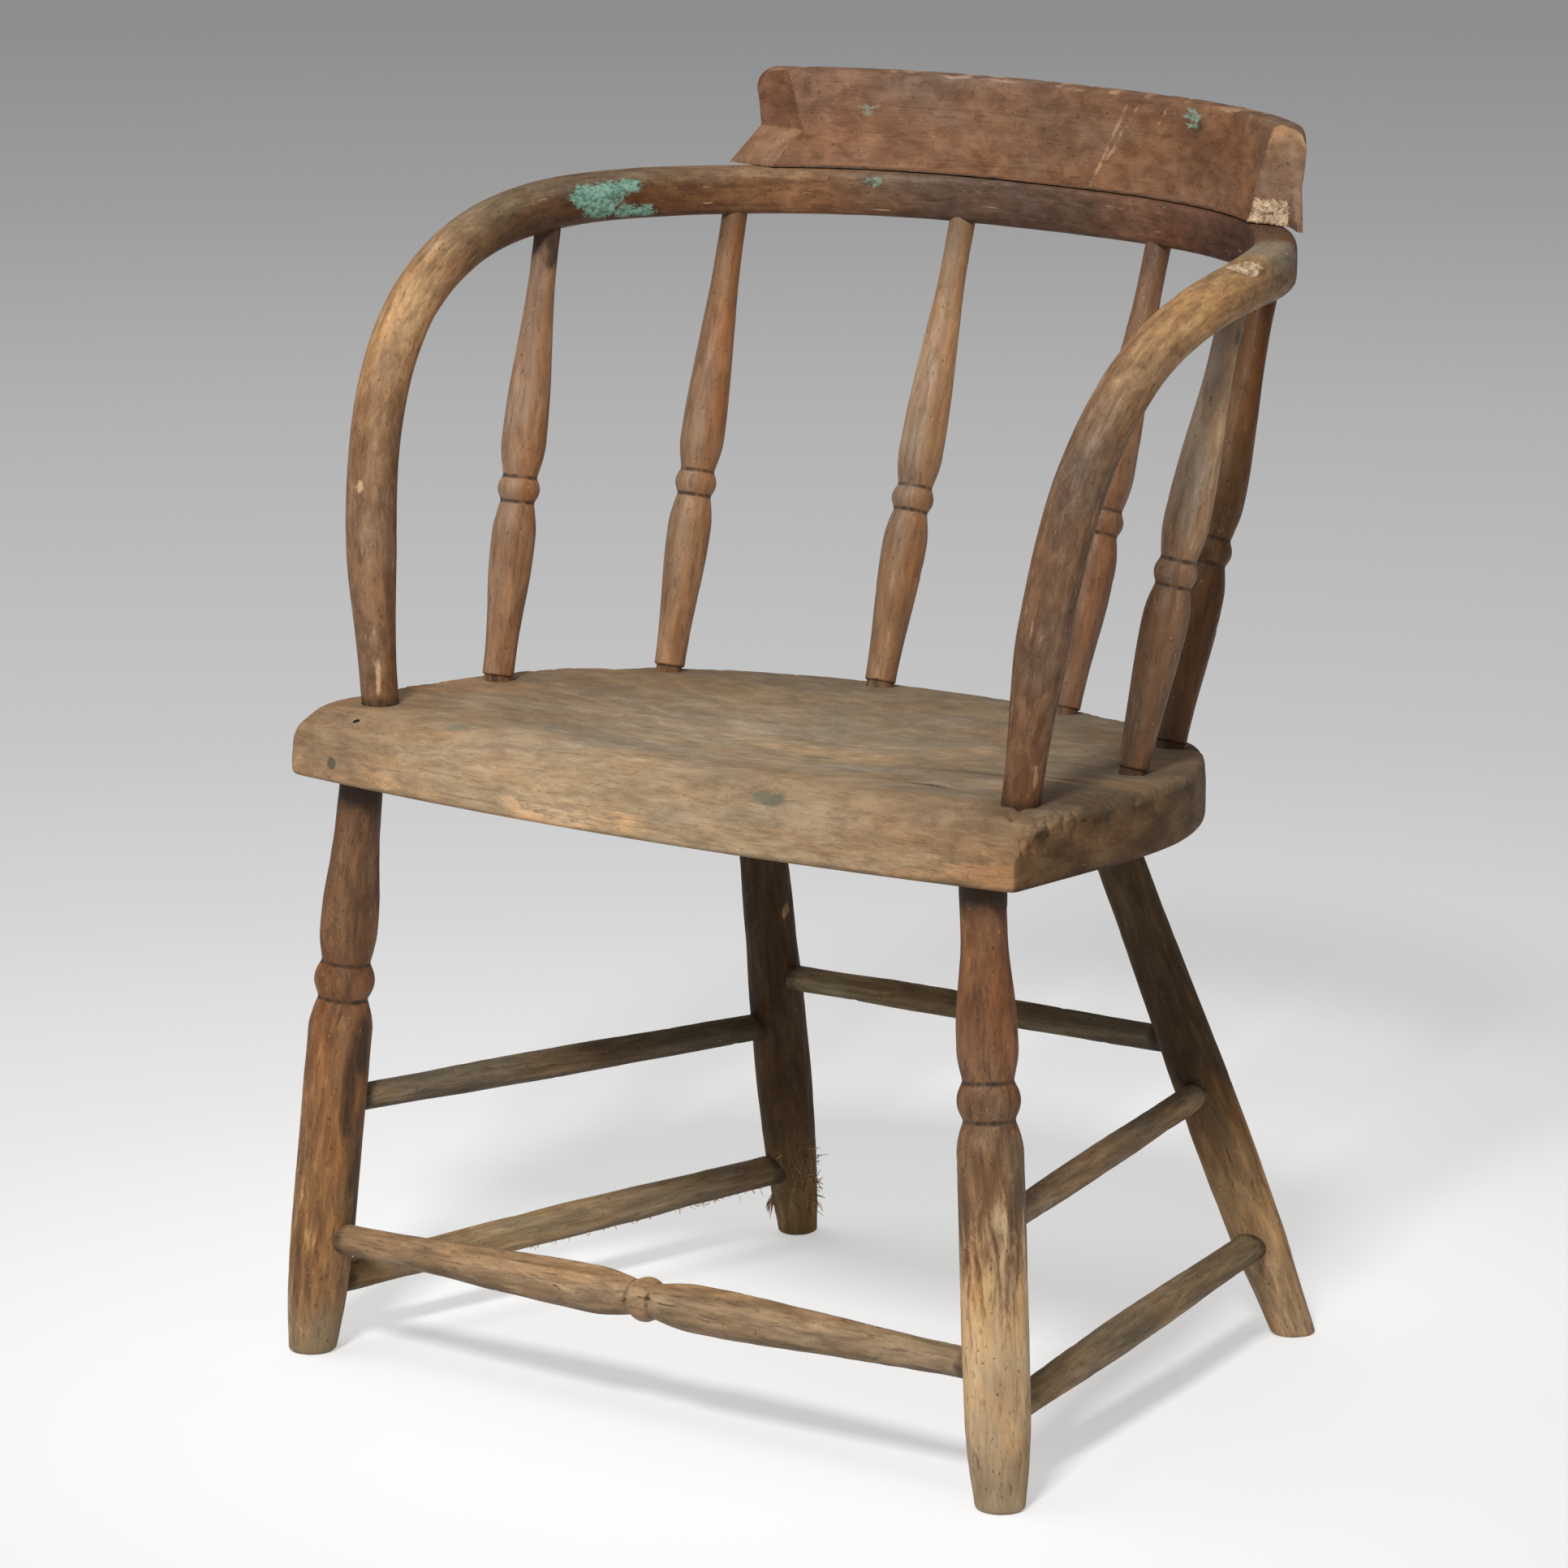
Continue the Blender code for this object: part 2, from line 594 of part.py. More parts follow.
def rear_leg_rings(length):
    stretch = length / REAR_TOP.z
    foot = 0.5 * REAR_FOOT_DIAMETER
    top = 0.5 * REAR_LEG_TOP_DIAMETER
    marks = [(-REAR_FOOT_DIAMETER, foot), (0.0, foot, "line", 1)]
    marks.append((REAR_LEG_SWELL_HEIGHT * stretch, 0.5 * REAR_LEG_SWELL_DIAMETER, "round", 4))
    marks.append((length - REAR_LEG_TOP_DIAMETER, top, "swell", 4))
    marks.append((length + REAR_LEG_TENON, top, "line", 1))
    return profile(marks)


def spindle_rings(length):
    """Profile from the seat (distance 0) to the end of the tenon in the bow."""
    neck = 0.5 * SPINDLE_NECK_DIAMETER
    swell = 0.5 * SPINDLE_SWELL_DIAMETER
    tenon = 0.5 * SPINDLE_TENON_DIAMETER
    half = 0.5 * SPINDLE_BEAD_LENGTH
    entry = length - SPINDLE_BOW_TENON - SPINDLE_TENON_DIAMETER
    marks = [(-SPINDLE_SEAT_TENON, tenon), (SPINDLE_SHOULDER_RISE, tenon, "line", 1)]
    marks.append((SPINDLE_SHOULDER_RISE, 0.5 * SPINDLE_FOOT_DIAMETER, "line", 1))
    marks.append((SPINDLE_BEAD_RISE - SPINDLE_LOWER_SWELL_DROP, swell, "swell", 3))
    marks.append((SPINDLE_BEAD_RISE - half, neck, "round", 2))
    marks.append((SPINDLE_BEAD_RISE, 0.5 * SPINDLE_BEAD_DIAMETER, "round", 2))
    marks.append((SPINDLE_BEAD_RISE + half, neck, "round", 2))
    marks.append((SPINDLE_BEAD_RISE + SPINDLE_UPPER_SWELL_RISE, swell, "round", 2))
    marks.append((entry, tenon, "swell", 4))
    marks.append((length, tenon, "line", 1))
    return profile(marks)


def plain_stretcher_rings(length, end_diameter, swell_diameter):
    end = 0.5 * end_diameter
    marks = [(0.0, end), (STRETCHER_ENTRY, end, "line", 1), (0.5 * length, 0.5 * swell_diameter, "swell", 3)]
    marks += [(length - STRETCHER_ENTRY, end, "swell", 3), (length, end, "line", 1)]
    return profile(marks)


def front_stretcher_rings(length, end_diameter, club_diameter):
    end = 0.5 * end_diameter
    club = 0.5 * club_diameter
    neck = 0.5 * FRONT_STRETCHER_NECK_DIAMETER
    half = 0.5 * FRONT_STRETCHER_BEAD_LENGTH
    middle = 0.5 * length
    marks = [(0.0, end), (STRETCHER_ENTRY, end, "line", 1)]
    marks.append((middle - FRONT_STRETCHER_CLUB_REACH, club, "swell", 4))
    marks.append((middle - half, neck, "round", 2))
    marks.append((middle, 0.5 * FRONT_STRETCHER_BEAD_DIAMETER, "round", 2))
    marks.append((middle + half, neck, "round", 2))
    marks.append((middle + FRONT_STRETCHER_CLUB_REACH, club, "round", 2))
    marks.append((length - STRETCHER_ENTRY, end, "swell", 4))
    marks.append((length, end, "line", 1))
    return profile(marks)


# Colours of the worn finish
SEAT_WOOD = wood("worn_seat_wood", (0.255, 0.185, 0.120), 0.62)
BOW_WOOD = wood("rubbed_bow_wood", (0.205, 0.125, 0.072), 0.50)
CREST_WOOD = wood("red_brown_crest_wood", (0.190, 0.098, 0.058), 0.50)
SPINDLE_WOOD = wood("brown_spindle_wood", (0.200, 0.120, 0.072), 0.50)
FRONT_LEG_WOOD = wood("worn_front_leg_wood", (0.200, 0.120, 0.068), 0.58)
REAR_LEG_WOOD = wood("dark_rear_leg_wood", (0.085, 0.058, 0.036), 0.55)
STRETCHER_WOOD = wood("dull_stretcher_wood", (0.145, 0.098, 0.062), 0.60)
DOWEL_WOOD = wood("pale_dowel_wood", (0.420, 0.300, 0.180), 0.70)

SIDES = (("left", -1.0), ("right", 1.0))
seat = add_part("seat", seat_mesh(), SEAT_WOOD)
bow = add_part("bow", bow_mesh(), BOW_WOOD)
crest = add_part("crest", crest_mesh(), CREST_WOOD)
cut(crest, add_cutter("crest_bevel", crest_bevel()))
for side_name, side in SIDES:
    cut(seat, add_cutter("arm_socket_" + side_name, arm_socket(side)))

# Dowels in the crest
for place, reach, side in (("left", DOWEL_SPACING, -1.0), ("centre", 0.0, 1.0), ("right", DOWEL_SPACING, 1.0)):
    name = "crest_dowel_" + place
    base, tip = dowel_axis(reach, side)
    rings = [(-DOWEL_IN_BOW, 0.5 * DOWEL_DIAMETER), (DOWEL_IN_CREST, 0.5 * DOWEL_DIAMETER)]
    turned_part(name, rings, STRETCHER_SIDES, base, tip, DOWEL_WOOD)
    start = -DOWEL_IN_BOW - CLEARANCE
    end = DOWEL_IN_CREST + CLEARANCE
    bore = socket_cutter(name, start, end, DOWEL_DIAMETER, STRETCHER_SIDES, base, tip)
    cut(bow, bore)
    cut(crest, bore)

# Spindles
for place, (side, degrees, inset, reach) in SPINDLE_PLACES.items():
    name = "spindle_" + place
    angle = math.radians(degrees)
    along = (seat_edge(angle + FRAME_STEP) - seat_edge(angle - FRAME_STEP)).normalized()
    foot = seat_edge(angle) + Vector((-along.y, along.x)) * inset
    base = Vector((side * foot.x, foot.y, seat_top(foot.x, foot.y)))
    middle = settled(mirrored(bow_point(reach), side))
    _, high, _ = bow_section(reach)
    rise = (middle - base).normalized()
    length = (middle - base).length - high / rise.z + SPINDLE_BOW_TENON
    turned_part(name, spindle_rings(length), SPINDLE_SIDES, base, middle, SPINDLE_WOOD)
    start = -SPINDLE_SEAT_TENON - CLEARANCE
    bore = socket_cutter(name, start, length + CLEARANCE, SPINDLE_TENON_DIAMETER, SPINDLE_SIDES, base, middle)
    cut(seat, bore)
    cut(bow, bore)

# Legs
FRONT_TOP_Y = SEAT_CORNER_Y + FRONT_LEG_SETBACK
REAR_TOP_Y = SEAT_BACK_Y - REAR_LEG_SETBACK
FRONT_FOOT = Vector((SEAT_HALF_WIDTH - FRONT_FOOT_INSET, 0.0, 0.0))
FRONT_TOP = Vector((SEAT_HALF_WIDTH - FRONT_LEG_TOP_INSET, FRONT_TOP_Y, seat_underside(FRONT_TOP_Y)))
REAR_FOOT = Vector((SEAT_HALF_WIDTH - REAR_FOOT_INSET, SEAT_BACK_Y + REAR_FOOT_OVERHANG, 0.0))
REAR_TOP = Vector((SEAT_HALF_WIDTH - REAR_LEG_TOP_INSET, REAR_TOP_Y, seat_underside(REAR_TOP_Y)))

floor_mesh = bpy.data.meshes.new("floor_plane")
floor_shape = bmesh.new()
bmesh.ops.create_cube(floor_shape, size=4.0 * SEAT_HEIGHT)
bmesh.ops.translate(floor_shape, verts=floor_shape.verts, vec=(0.0, 0.0, -2.0 * SEAT_HEIGHT))
floor_shape.to_mesh(floor_mesh)
floor_shape.free()
floor_plane = add_cutter("floor_plane", floor_mesh)

legs = {}
axes = {}


def add_leg(name, side, foot, top, leg_rings, diameter, tenon, material):
    base = mirrored(foot, side)
    tip = mirrored(top, side)
    length = (tip - base).length
    leg = turned_part(name, leg_rings(length), LEG_SIDES, base, tip, material)
    cut(leg, floor_plane)
    start = length - 2.0 * diameter
    cut(seat, socket_cutter(name, start, length + tenon + CLEARANCE, diameter, LEG_SIDES, base, tip))
    legs[name] = leg
    axes[name] = (base, tip)


for side_name, side in SIDES:
    add_leg("front_leg_" + side_name, side, FRONT_FOOT, FRONT_TOP, front_leg_rings,
            FRONT_LEG_TOP_DIAMETER, FRONT_LEG_TENON, FRONT_LEG_WOOD)
    add_leg("rear_leg_" + side_name, side, REAR_FOOT, REAR_TOP, rear_leg_rings,
            REAR_LEG_TOP_DIAMETER, REAR_LEG_TENON, REAR_LEG_WOOD)

# Stretchers


def add_stretcher(name, first_leg, second_leg, heights, stretcher_rings, end_diameter, swell_diameter):
    base = leg_axis(*axes[first_leg], heights[0])
    tip = leg_axis(*axes[second_leg], heights[1])
    length = (tip - base).length
    rings = stretcher_rings(length, end_diameter, swell_diameter)
    turned_part(name, rings, STRETCHER_SIDES, base, tip, STRETCHER_WOOD)
    bore = socket_cutter(name, -CLEARANCE, length + CLEARANCE, end_diameter, STRETCHER_SIDES, base, tip)
    cut(legs[first_leg], bore)
    cut(legs[second_leg], bore)


for side_name, _ in SIDES:
    front = "front_leg_" + side_name
    rear = "rear_leg_" + side_name
    name = "side_stretcher_" + side_name
    upper = UPPER_STRETCHER_HEIGHTS[side_name]
    lower = LOWER_STRETCHER_HEIGHTS[side_name]
    add_stretcher(name + "_upper", front, rear, upper, plain_stretcher_rings,
                  UPPER_STRETCHER_END_DIAMETER, UPPER_STRETCHER_SWELL_DIAMETER)
    add_stretcher(name + "_lower", front, rear, lower, plain_stretcher_rings,
                  LOWER_STRETCHER_END_DIAMETER, LOWER_STRETCHER_SWELL_DIAMETER)
add_stretcher("rear_stretcher", "rear_leg_left", "rear_leg_right", REAR_STRETCHER_HEIGHTS,
              plain_stretcher_rings, REAR_STRETCHER_END_DIAMETER, REAR_STRETCHER_SWELL_DIAMETER)
add_stretcher("front_stretcher", "front_leg_left", "front_leg_right", FRONT_STRETCHER_HEIGHTS,
              front_stretcher_rings, FRONT_STRETCHER_END_DIAMETER, FRONT_STRETCHER_CLUB_DIAMETER)

# The origin is on the floor, below the middle of the chair's extent
bpy.context.view_layer.update()
graph = bpy.context.evaluated_depsgraph_get()
points = []
for part in chair.objects:
    if part.type == "MESH":
        shape = part.evaluated_get(graph)
        points += [shape.matrix_world @ vertex.co for vertex in shape.to_mesh().vertices]
        shape.to_mesh_clear()
origin.location.x = -0.5 * (min(point.x for point in points) + max(point.x for point in points))
origin.location.y = -0.5 * (min(point.y for point in points) + max(point.y for point in points))
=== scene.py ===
import math

import bmesh
import bpy
import numpy as np
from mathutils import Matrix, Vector


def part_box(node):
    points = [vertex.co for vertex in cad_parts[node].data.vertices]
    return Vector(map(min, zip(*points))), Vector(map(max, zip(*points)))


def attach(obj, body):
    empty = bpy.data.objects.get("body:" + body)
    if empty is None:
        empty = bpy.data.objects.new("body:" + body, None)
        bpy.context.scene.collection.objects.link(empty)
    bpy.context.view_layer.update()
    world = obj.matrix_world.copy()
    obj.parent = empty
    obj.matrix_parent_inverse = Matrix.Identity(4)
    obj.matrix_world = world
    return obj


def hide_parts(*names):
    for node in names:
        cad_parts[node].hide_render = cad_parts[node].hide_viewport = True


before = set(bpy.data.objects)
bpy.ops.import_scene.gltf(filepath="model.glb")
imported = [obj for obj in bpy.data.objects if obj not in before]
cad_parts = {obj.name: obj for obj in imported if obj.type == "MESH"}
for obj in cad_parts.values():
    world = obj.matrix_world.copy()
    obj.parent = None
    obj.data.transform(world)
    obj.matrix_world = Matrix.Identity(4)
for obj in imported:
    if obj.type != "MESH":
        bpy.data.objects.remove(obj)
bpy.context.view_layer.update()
print("frame loaded:", len(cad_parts), "solids")


# shared tools for the shapes
# large odd numbers and shifts that stir the bits of the random field
hashing = dict(axes=(73856093, 19349663, 83492791), seed=40503, stirs=((13, 1274126177), (16, 668265263)),
               shift=15, full=0xFFFFFFFF, half=2147483648.0)
meshing = dict(merge=2e-6, sliver=1e-7, sharp=44.0)
mottling = dict(warmShare=0.6, warmSize=1.7, blueShare=1.3)
bothSides = (("left", -1.0), ("right", 1.0))


def eased(value, start, end):
    # 0 at start, 1 at end and level at both: 3t^2 - 2t^3, where t is the share of the way
    share = np.clip((value - start) / (end - start), 0.0, 1.0)
    return share * share * (3.0 - 2.0 * share)


def band(value, strength, start, end):
    # an eased step that ends at the strength
    return strength * eased(value, start, end)


def bell(value, middle, width):
    # 1 at the middle, falling to both sides as exp(-t^2), where t counts widths
    return np.exp(-((value - middle) / width) ** 2)


def unit(vectors):
    # each vector divided by its own length
    return vectors / np.linalg.norm(vectors, axis=-1, keepdims=True)


def cloud(points, size, seed):
    # smooth random field from -1 to 1: hashed values at the corners of a lattice,
    # eased and mixed inside each cell, with a pattern of its own for each seed
    cell = np.asarray(points) / np.asarray(size)
    low = np.floor(cell)
    part = cell - low
    part = part * part * (3.0 - 2.0 * part)
    low = low.astype(np.int64)
    total = np.zeros(cell.shape[:-1])
    for corner in range(8):
        step = np.array([corner & 1, corner >> 1 & 1, corner >> 2 & 1])
        spot = low + step
        mixed = seed * hashing["seed"]
        for axis, factor in enumerate(hashing["axes"]):
            mixed = mixed ^ spot[..., axis] * factor
        for shift, factor in hashing["stirs"]:
            mixed = (mixed ^ (mixed >> shift)) * factor & hashing["full"]
        value = (mixed ^ (mixed >> hashing["shift"])) / hashing["half"] - 1.0
        total += value * np.prod(np.where(step == 1, part, 1.0 - part), axis=-1)
    return total


def spots(points, marks):
    # strongest of several soft spots: each is full up to a quarter of its three radii and 0 at the radii
    total = np.zeros(points.shape[:-1])
    for x, y, z, wide, deep, high, strength in marks:
        away = (points - np.array([x, y, z])) / np.array([wide, deep, high])
        total = np.maximum(total, band(np.linalg.norm(away, axis=-1), strength, 1.0, 0.25))
    return total


def mottled(tone, points, seed, amount, size):
    # colour multipliers that wander over a piece: one field for lightness, a second one for warmth
    light = 1.0 + amount * cloud(points, size, seed)
    warm = mottling["warmShare"] * amount * cloud(points, mottling["warmSize"] * np.array(size), seed + 1)
    turned = np.stack([1.0 + warm, np.ones_like(warm), 1.0 - mottling["blueShare"] * warm], -1)
    return tone * light[..., None] * turned


def along(stops, value):
    # colour multipliers given at places along a piece, mixed straight between them
    places = [stop[0] for stop in stops]
    return np.stack([np.interp(value, places, [stop[1][i] for stop in stops]) for i in range(3)], -1)


def gridPart(sheet, closed, grain, wear, tint):
    # one grid of points with its own marks: rows by columns; closed joins the last column to the first
    return dict(sheet=sheet, closed=closed, grain=grain, wear=wear, tint=tint)


def gridFaces(rows, columns, closed):
    # the four corner numbers of every cell of a grid
    i, j = np.meshgrid(np.arange(rows - 1), np.arange(columns if closed else columns - 1), indexing="ij")
    right = (j + 1) % columns
    corners = [i * columns + j, i * columns + right, (i + 1) * columns + right, (i + 1) * columns + j]
    return np.stack(corners, -1).reshape(-1, 4)


def makePiece(name, parts, finish, nodes, sharp=meshing["sharp"]):
    # joins the grids into one closed skin: equal points are merged, then every face is turned outwards
    points, loops, offset = [], [], 0
    for part in parts:
        rows, columns = part["sheet"].shape[:2]
        loops.append(offset + gridFaces(rows, columns, part["closed"]))
        points.append(part["sheet"].reshape(-1, 3))
        offset += rows * columns
    points, loops = np.concatenate(points), np.concatenate(loops)
    mesh = bpy.data.meshes.new(name)
    mesh.vertices.add(len(points))
    mesh.vertices.foreach_set("co", points.astype(np.float32).ravel())
    mesh.loops.add(loops.size)
    mesh.loops.foreach_set("vertex_index", loops.astype(np.int32).ravel())
    mesh.polygons.add(len(loops))
    mesh.polygons.foreach_set("loop_start", np.arange(0, loops.size, 4, dtype=np.int32))
    mesh.update(calc_edges=True)
    for label, kind, field, width in (("grain", "FLOAT_VECTOR", "vector", 3),
                                      ("wear", "FLOAT_COLOR", "color", 4),
                                      ("tint", "FLOAT_COLOR", "color", 4)):
        values = np.concatenate([part[label].reshape(-1, width) for part in parts])
        mesh.attributes.new(label, kind, "POINT").data.foreach_set(field, values.astype(np.float32).ravel())
    shape = bmesh.new()
    shape.from_mesh(mesh)
    bmesh.ops.remove_doubles(shape, verts=shape.verts, dist=meshing["merge"])
    bmesh.ops.dissolve_degenerate(shape, edges=shape.edges, dist=meshing["sliver"])
    bmesh.ops.recalc_face_normals(shape, faces=shape.faces)
    shape.to_mesh(mesh)
    shape.free()
    mesh.shade_smooth()
    mesh.set_sharp_from_angle(angle=math.radians(sharp))
    mesh.materials.append(finish)
    piece = bpy.data.objects.new(name, mesh)
    bpy.context.scene.collection.objects.link(piece)
    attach(piece, "root")
    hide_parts(*nodes)


def layers(bare=0.0, grime=0.0, dust=0.0, paint=0.0, like=None):
    # four marks in one colour: bare wood, dark dirt with painted shade, grey dust, green paint
    marks = [np.broadcast_to(np.asarray(mark, float), like.shape) for mark in (bare, grime, dust, paint)]
    return np.clip(np.stack(marks, -1), 0, 1)


def shades(colour, fresh=0.0):
    # colour multipliers with the broken, new-looking wood as the fourth channel
    fourth = np.broadcast_to(np.asarray(fresh, float), colour.shape[:-1])
    return np.concatenate([colour, fourth[..., None]], -1)


# wood finishes: what all the woods share, and what each piece changes
oldWood = dict(
    # noises in cells per metre: first along the grain, then across it
    streak=(8.0, 240.0), fibre=(30.0, 1000.0), broad=(9.0, 22.0), blotch=(34.0, 76.0), patina=(70.0, 150.0),
    pore=(60.0, 1500.0), dash=(40.0, 260.0), speck=(260.0, 380.0), fleck=(300.0, 520.0), crack=(4.0, 330.0),
    scratch=(16.0, 460.0), flaky=(210.0, 360.0),
    # how strongly each small mark shows
    dashShare=0.28, speckShare=0.5, fleckShare=0.4, crackShare=0.15, scratchShare=0.08, poreShare=0.12,
    # shares and widths of the figure, then the surface
    byStreak=0.18, byFibre=0.08, crisp=0.62, hue=0.8, soft=0.14, contrast=0.22, patch=0.28,
    rough=0.58, gloss=0.2, bump=0.65, spots=(),
    # colours
    dark=(0.10, 0.05, 0.026), mid=(0.19, 0.10, 0.052), light=(0.29, 0.165, 0.088),
    bareDark=(0.33, 0.205, 0.11), bareLight=(0.56, 0.39, 0.23), grime=(0.028, 0.018, 0.011),
    dustDark=(0.17, 0.135, 0.095), dustLight=(0.30, 0.25, 0.185),
    freshDark=(0.26, 0.155, 0.085), freshLight=(0.62, 0.46, 0.30),
    paintDark=(0.075, 0.16, 0.115), paintLight=(0.27, 0.46, 0.36))
woodRules = dict(
    # detail, roughness and distortion of each noise
    noises=dict(streak=(5.0, 0.65, 0.5), fibre=(3.0, 0.65), blotch=(7.0, 0.62, 0.6), flaky=(6.0, 0.7, 0.8),
                broad=(4.0, 0.6, 0.5), pore=(2.0, 0.5), dash=(3.0, 0.55, 0.4), speck=(2.0, 0.55),
                fleck=(2.0, 0.5), crack=(2.0, 0.5, 0.7)),
    patina=(8.0, 0.4), scratch=(2.0, 0.5, 0.2),
    # the part of each noise that makes a mark
    marks=dict(pore=(0.62, 0.70), dash=(0.60, 0.67), speck=(0.66, 0.71), fleck=(0.71, 0.74),
               crack=(0.68, 0.71)),
    # turn of the scratches, then their part of the noise
    scratchLines=((0.55, 0.69, 0.72), (-0.95, 0.70, 0.73)),
    # torn edges: by the streaks, by the mottling, and the range that the sum passes
    bareEdge=(0.5, 1.6), grimeEdge=(0.2, 1.2, 0.26, 0.70), dustEdge=(0.0, -1.2, 0.20, 0.80),
    paintEdge=(1.2, 0.8, 0.46, 0.58), freshEdge=(0.3, 0.6, 0.40, 0.56), paintFlaky=2.2, freshFlaky=1.3,
    paintFloor=(0.10, 0.95), paintRange=(0.40, 0.60), freshRange=(0.38, 0.60),
    darkPatch=(0.52, 0.63), lightPatch=(0.48, 0.37), warmRange=(0.36, 0.64),
    cool=(0.92, 1.01, 1.12), warm=(1.09, 0.99, 0.86), bareShare=0.94, dustShare=0.75, grimeShare=0.88,
    paintShare=0.93, spotRagged=2.4, roughLift=0.08, roughFigure=-0.16, roughBare=0.10, roughDust=0.12,
    relief=dict(streak=0.45, fibre=0.4, pore=-0.3, patina=0.7, paint=0.4, crack=-0.6, dash=-0.35,
                speck=-0.3, grime=-0.2), reliefDepth=0.0007)


def tool(tree, kind, settings=(), inputs=()):
    # one shader node with its settings, and its inputs linked or set
    made = tree.nodes.new(kind)
    for key, value in dict(settings).items():
        setattr(made, key, value)
    for key, value in dict(inputs).items():
        if isinstance(value, bpy.types.NodeSocket):
            tree.links.new(value, made.inputs[key])
        else:
            made.inputs[key].default_value = value
    return made


def woodFinish(name, **changes):
    # tones mixed by noise along the grain, then multiplied and marked by the piece's own attributes
    look, rules = {**oldWood, **changes}, woodRules
    material = bpy.data.materials.new(name)
    material.use_nodes = True
    tree = material.node_tree
    tree.nodes.clear()

    def sums(operation, *values):
        # one step of arithmetic on sockets or numbers
        return tool(tree, "ShaderNodeMath", {"operation": operation}, dict(enumerate(values))).outputs[0]

    def ranged(value, low, high, first=0.0, last=1.0):
        # an eased step between low and high that goes from first to last
        inputs = {"Value": value, "From Min": low, "From Max": high, "To Min": first, "To Max": last}
        return tool(tree, "ShaderNodeMapRange", {"interpolation_type": "SMOOTHSTEP"},
                    inputs).outputs["Result"]

    def mixed(share, first, second, way="MIX"):
        # the first colour moved by the share towards the second, or towards their product;
        # sockets 6 and 7 and output 2 are the node's colours
        made = tool(tree, "ShaderNodeMix", {"data_type": "RGBA", "blend_type": way, "clamp_factor": True})
        for socket, value in ((made.inputs[0], share), (made.inputs[6], first), (made.inputs[7], second)):
            if isinstance(value, bpy.types.NodeSocket):
                tree.links.new(value, socket)
            else:
                socket.default_value = value if isinstance(value, float) else (*value, 1.0)
        return made.outputs[2]

    grain = tool(tree, "ShaderNodeAttribute", {"attribute_name": "grain"}).outputs["Vector"]

    def speckle(key, detail, rough, bend=0.0, slant=0.0):
        # noise stretched along the grain, which the slant turns first
        spot = grain
        if slant:
            inputs = {"Vector": spot, "Angle": slant}
            spot = tool(tree, "ShaderNodeVectorRotate", {"rotation_type": "Z_AXIS"}, inputs).outputs[0]
        lengthways, across = look[key]
        inputs = {0: spot, 1: (lengthways, across, across)}
        spot = tool(tree, "ShaderNodeVectorMath", {"operation": "MULTIPLY"}, inputs).outputs[0]
        inputs = {"Vector": spot, "Scale": 1.0, "Detail": detail, "Roughness": rough, "Distortion": bend}
        return tool(tree, "ShaderNodeTexNoise", {}, inputs).outputs[0]

    def shifted(mask, noise, amount):
        # the mask raised and lowered by the noise about its middle
        return sums("MULTIPLY_ADD", sums("SUBTRACT", noise, 0.5), amount, mask)

    field = {key: speckle(key, *kind) for key, kind in rules["noises"].items()}
    detail, bend = rules["patina"]
    field["patina"] = speckle("patina", detail, look["crisp"], bend)
    patina, flaky, blotch = field["patina"], field["flaky"], field["blotch"]
    mark = {key: ranged(field[key], *part) for key, part in rules["marks"].items()}
    lines = [ranged(speckle("scratch", *rules["scratch"], slant), low, high)
             for slant, low, high in rules["scratchLines"]]
    mark["scratch"] = sums("MAXIMUM", *lines)
    wear = tool(tree, "ShaderNodeAttribute", {"attribute_name": "wear"})
    tint = tool(tree, "ShaderNodeAttribute", {"attribute_name": "tint"})
    channel = tool(tree, "ShaderNodeSeparateColor", {}, {0: wear.outputs["Color"]})

    def broken(mask, byStreak, byPatina, low, high):
        # a mark whose edge is torn by the streaks and the mottling
        return ranged(shifted(shifted(mask, field["streak"], byStreak), patina, byPatina), low, high)

    bare = broken(channel.outputs[0], *rules["bareEdge"], 0.5 - look["soft"], 0.5 + look["soft"])
    grime = broken(channel.outputs[1], *rules["grimeEdge"])
    dust = broken(channel.outputs[2], *rules["dustEdge"])
    paint = broken(shifted(wear.outputs["Alpha"], flaky, rules["paintFlaky"]), *rules["paintEdge"])
    paint = sums("MULTIPLY", paint, ranged(wear.outputs["Alpha"], *rules["paintFloor"]))
    fresh = broken(shifted(tint.outputs["Alpha"], flaky, rules["freshFlaky"]), *rules["freshEdge"])
    # body of the colour: mottling, streaks and fibres between three tones, dark and light patches over them
    figure = sums("MULTIPLY", field["fibre"], look["byFibre"])
    figure = sums("MULTIPLY_ADD", field["streak"], look["byStreak"], figure)
    figure = sums("MULTIPLY_ADD", patina, 1.0 - look["byStreak"] - look["byFibre"], figure)
    figure = ranged(figure, 0.5 - look["contrast"], 0.5 + look["contrast"])
    ramp = tool(tree, "ShaderNodeValToRGB", {}, {0: figure})
    tones = ramp.color_ramp.elements
    tones[0].color, tones[1].color = (*look["dark"], 1.0), (*look["light"], 1.0)
    tones.new(0.5).color = (*look["mid"], 1.0)
    colour = mixed(ranged(blotch, *rules["darkPatch"], 0.0, look["patch"]), ramp.outputs[0], look["dark"])
    colour = mixed(ranged(blotch, *rules["lightPatch"], 0.0, look["patch"]), colour, look["light"])
    bareTone = mixed(figure, look["bareDark"], look["bareLight"])
    colour = mixed(sums("MULTIPLY", bare, rules["bareShare"]), colour, bareTone)
    colour = mixed(1.0, colour, tint.outputs["Color"], "MULTIPLY")
    warmth = mixed(ranged(field["broad"], *rules["warmRange"]), rules["cool"], rules["warm"])
    colour = mixed(look["hue"], colour, mixed(1.0, colour, warmth, "MULTIPLY"))
    dustTone = mixed(figure, look["dustDark"], look["dustLight"])
    colour = mixed(sums("MULTIPLY", dust, rules["dustShare"]), colour, dustTone)
